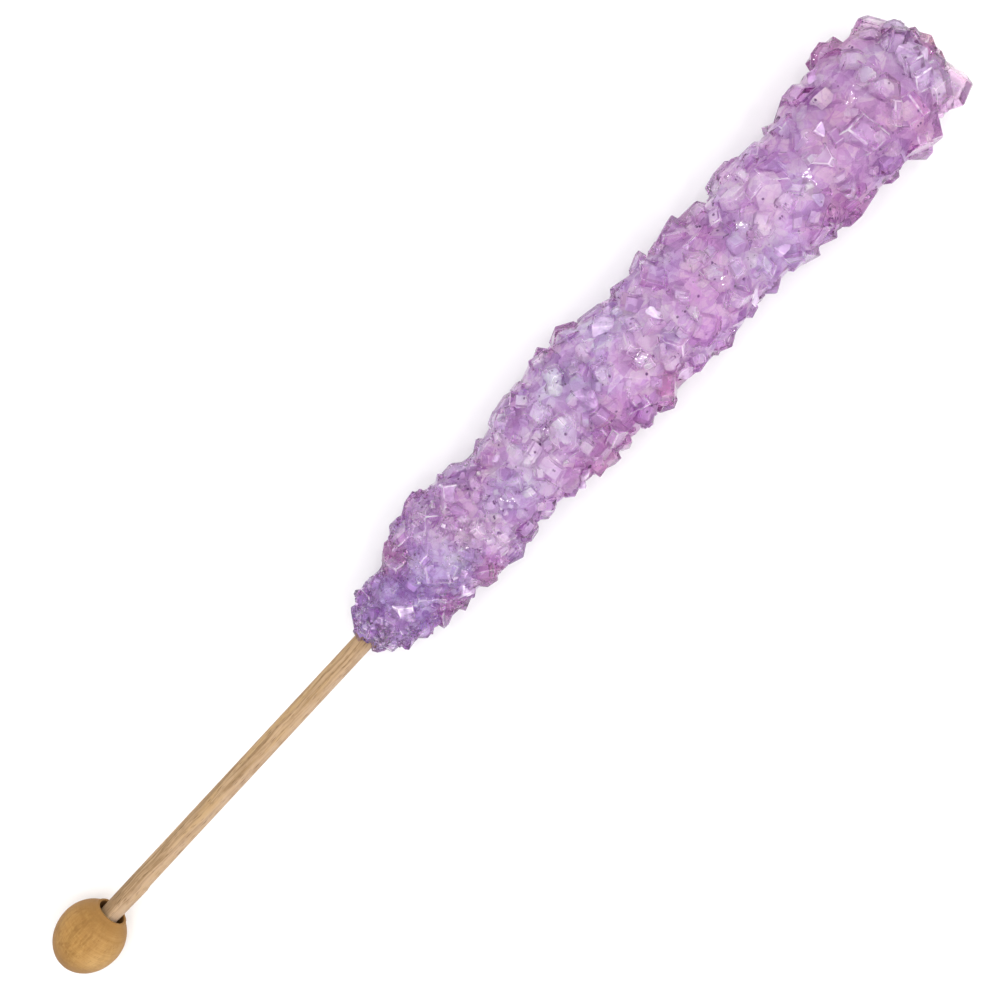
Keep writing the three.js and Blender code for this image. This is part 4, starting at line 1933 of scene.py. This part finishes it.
@dataclass
class CandyRod:
    """The rod of sugar: a clear skin of crystals over a milky heart."""

    lay: Lay
    coarse: Coat = Coat(seed=20236, skipped_draws=834, shyness=0.0)
    middling: Coat = Coat(
        seed=511,
        grain_share=0.65,
        ring_step=1.05,
        turn_step=1.25,
        sunk=0.35,
        sizes=(0.7, 1.3),
        slack=-0.4,
    )
    fine: Coat = Coat(
        seed=77,
        grain_share=0.4,
        ring_step=1.6,
        turn_step=1.8,
        sunk=0.5,
        sizes=(0.6, 1.4),
        slack=-0.9,
        until=145.0,
    )
    heel: Coat = Coat(
        seed=9,
        grain_share=0.4,
        ring_step=1.2,
        turn_step=1.35,
        sunk=0.5,
        sizes=(0.5, 1.4),
        slack=-0.7,
        until=84.0,
    )
    grains: Coat = Coat(
        seed=31,
        grain_share=0.25,
        ring_step=0.8,
        turn_step=0.9,
        sunk=0.5,
        sizes=(0.6, 1.4),
        slack=-0.4,
        until=76.0,
    )
    bevel: float = 0.07
    skin_core: Core = Core(depth_share=0.26, segments=20, rings=44, inset=0.2)
    heart_core: Core = Core(depth_share=0.5, segments=18, rings=40, inset=1.4)
    heart_share: float = 0.6
    heart_height: float = 0.0006
    bore_sides: int = 48
    bore_tightness: float = 0.06
    bore_middle: float = 96.9
    bore_length: float = 120.0
    cut_tolerance: float = 1e-7

    def build(self) -> None:
        """Model the rod."""
        rounded = CrystalModel(rounding=self.bevel, segments=1)
        sharp = CrystalModel(rounding=0.0, segments=0)
        coarse = Batch(self.coarse, rounded, self.coarse.crystals(PROUD_CRYSTALS))
        middling = Batch(self.middling, rounded, self.middling.crystals())
        fine = Batch(self.fine, sharp, self.fine.crystals())
        heel = Batch(self.heel, rounded, self.heel.crystals())
        grains = Batch(self.grains, sharp, self.grains.crystals())
        skin = self.skin_core.build("candy_crystals", self.coarse)
        self._grow(skin, [coarse, middling, fine, heel, grains], 0.0)
        dress(skin, SugarFinish().material(), Slot.PURPLE_SUGAR, "candy")
        heart = self.heart_core.build("candy_heart", self.coarse)
        inner = [batch.shrunk(sharp, self.heart_share) for batch in (coarse, middling, heel)]
        self._grow(heart, inner, self.heart_height)
        dress(heart, HeartFinish().material(), Slot.PURPLE_SUGAR, "candy")

    def _grow(self, body: bpy.types.Object, batches: list[Batch], height: float) -> None:
        """Grow crystals on a core, drill it for the dowel and lay it on the surface.

        Args:
            body: The core.
            batches: The crystals.
            height: Where it is cut flat to rest, in metres.
        """
        self._join(body, batches)
        self._bore(body)
        self.lay.place(body)
        self._rest(body, height)

    @staticmethod
    def _join(body: bpy.types.Object, batches: list[Batch]) -> None:
        """Fuse crystals and the core that they stand on into one closed body.

        Each face keeps the tone, cloudiness, painted edge highlight and dye of its own crystal.

        Args:
            body: The core, in millimetres along the axis.
            batches: The crystals.
        """
        looks = FaceLooks()
        looks.note_core(body.data)
        heap = bpy.data.collections.new(body.name)
        bpy.context.scene.collection.children.link(heap)
        for batch in batches:
            LOG.info("%s: %d crystals", body.name, len(batch.crystals))
            for crystal in batch.crystals:
                mesh = bpy.data.meshes.new(body.name)
                points = crystal.points(batch.model.points, batch.coat.habit)
                mesh.from_pydata(points.tolist(), [], batch.model.faces)
                looks.note_crystal(mesh, batch, crystal)
                heap.objects.link(bpy.data.objects.new(body.name, mesh))
        union = {"operation": "UNION", "operand_type": "COLLECTION", "collection": heap}
        Workbench.modify(body, "BOOLEAN", solver="MANIFOLD", **union)
        for crystal in list(heap.objects):
            mesh = crystal.data
            bpy.data.objects.remove(crystal)
            bpy.data.meshes.remove(mesh)
        bpy.data.collections.remove(heap)

    def _bore(self, body: bpy.types.Object) -> None:
        """Drill the dowel's hole, a little tight so that the wood fills it.

        Args:
            body: The piece, in millimetres along the axis.
        """
        drill = Workbench.primitive(
            bpy.ops.mesh.primitive_cylinder_add,
            "drill",
            vertices=self.bore_sides,
            radius=self.lay.dowel_radius - self.bore_tightness,
            depth=self.bore_length,
            location=(self.bore_middle, 0, 0),
            rotation=(0, math.pi / 2, 0),
        )
        bpy.ops.object.transform_apply(location=True, rotation=True, scale=False)
        drill.data.transform(self.lay.swung())
        Workbench.modify(body, "BOOLEAN", operation="DIFFERENCE", object=drill, solver="MANIFOLD")
        bpy.data.objects.remove(drill)

    def _rest(self, body: bpy.types.Object, height: float) -> None:
        """Cut the piece flat where it rests on the surface.

        Args:
            body: The piece, in the frame.
            height: Where it is cut, in metres.
        """
        Workbench.take(body)
        bpy.ops.object.mode_set(mode="EDIT")
        bpy.ops.mesh.select_all(action="SELECT")
        bpy.ops.mesh.bisect(
            plane_co=(0, 0, height),
            plane_no=(0, 0, 1),
            use_fill=True,
            clear_inner=True,
            threshold=self.cut_tolerance,
        )
        bpy.ops.object.mode_set(mode="OBJECT")


# ------------------------------------------------------------------------------------------------
# The studio
# ------------------------------------------------------------------------------------------------


@dataclass(frozen=True)
class Lamp:
    """A square lamp that faces the middle of the frame: metres and watts."""

    name: str
    place: Triple
    size: float
    power: float
    color: Color = (1.0, 1.0, 1.0)
    glints: bool = False

    def hang(self) -> None:
        """Add the lamp to the scene."""
        light = bpy.data.lights.new(self.name, "AREA")
        light.size = self.size
        light.energy = self.power
        light.color = self.color
        lamp = bpy.data.objects.new(self.name, light)
        lamp.visible_glossy = self.glints
        lamp.location = self.place
        lamp.rotation_euler = Vector(self.place).to_track_quat("Z", "Y").to_euler()
        bpy.context.scene.collection.objects.link(lamp)


@dataclass
class Studio:
    """A plain pale floor, soft lights and the camera that looks down on the stick.

    The small lamps that glint in the crystals hang in a spiral over the candy, each a golden angle
    on from the last.
    """

    key: Lamp = Lamp("key", (0.02, -0.34, 0.32), 0.30, 0.5, (1.0, 0.99, 0.97))
    fill: Lamp = Lamp("fill", (-0.10, 0.36, 0.50), 0.40, 0.2, (0.97, 0.98, 1.0))
    sparkles: int = 12
    sparkle_turn: float = math.radians(137.5)
    sparkle_reach: float = 0.07
    sparkle_middle: Triple = (0.03, 0.0, 0.42)
    sparkle_size: float = 0.012
    sparkle_power: float = 0.06
    sky: Color = (1.0, 1.0, 1.0)
    horizon: Color = (0.7, 0.7, 0.71)
    sky_strength: float = 1.16
    floor_size: float = 4.0
    floor_tones: tuple[Color, Color] = ((0.93, 0.93, 0.93), (0.95, 0.95, 0.95))
    floor_clouds: Pattern = Pattern((30, 30, 30))
    floor_span: Span = (0.3, 0.7)
    camera_height: float = 0.340
    camera_x: float = 0.00108
    camera_y: float = -0.00015
    stick_angle: float = math.radians(46.84)
    shown_width: float = 0.1334
    stick_height: float = 0.0078
    sensor: float = 36.0
    bounces: int = 24
    glass_bounces: int = 20

    def build(self) -> None:
        """Make the floor, the lights, the world and the camera."""
        self._floor()
        self._world()
        self.key.hang()
        self.fill.hang()
        middle_x, middle_y, height = self.sparkle_middle
        for index in range(self.sparkles):
            turn = index * self.sparkle_turn
            reach = self.sparkle_reach * math.sqrt(index + 0.5)
            place = (middle_x + reach * math.cos(turn), middle_y + reach * math.sin(turn), height)
            Lamp(f"sparkle_{index}", place, self.sparkle_size, self.sparkle_power, glints=True).hang()
        self._camera()

    def _floor(self) -> None:
        """A pale floor with a softly uneven tone."""
        floor = Workbench.primitive(bpy.ops.mesh.primitive_plane_add, "floor", size=self.floor_size)
        graph = Graph(bpy.data.materials.new("pale_floor"))
        tone = graph.noise(self.floor_clouds).eased(*self.floor_span)
        color = graph.mix(tone, *self.floor_tones)
        sockets = {"Base Color": color, "Roughness": 0.9, "Specular IOR Level": 0.1}
        shader = graph.node("ShaderNodeBsdfPrincipled", {}, sockets)
        floor.data.materials.append(graph.finish(shader.outputs[0]))

    def _world(self) -> None:
        """Soft white light from all round, a little less from low down."""
        graph = Graph(bpy.data.worlds.new("studio"), Tree.WORLD)
        color = graph.ramp(graph.axis(2), ((0.0, self.horizon), (1.0, self.sky)))
        sockets = {"Color": color, "Strength": self.sky_strength}
        background = graph.node("ShaderNodeBackground", {}, sockets)
        bpy.context.scene.world = graph.finish(background.outputs[0])

    def _camera(self) -> None:
        """Look straight down, with the stick rising to the right."""
        data = bpy.data.cameras.new("camera")
        data.sensor_width = self.sensor
        data.lens = self.sensor * (self.camera_height - self.stick_height) / self.shown_width
        camera = bpy.data.objects.new("camera", data)
        camera.location = (self.camera_x, self.camera_y, self.camera_height)
        camera.rotation_euler = (0, 0, -self.stick_angle)
        bpy.context.scene.collection.objects.link(camera)
        scene = bpy.context.scene
        scene.camera = camera
        scene.view_settings.view_transform = "Standard"
        scene.cycles.max_bounces = self.bounces
        scene.cycles.transmission_bounces = self.glass_bounces


def main() -> None:
    """Build the studio and the stick."""
    logging.basicConfig(level=logging.INFO, format="%(message)s")
    lay = Lay()
    Studio().build()
    TurnedBall(lay).build()
    Dowel(lay).build()
    CandyRod(lay).build()


if __name__ == "__main__":
    main()
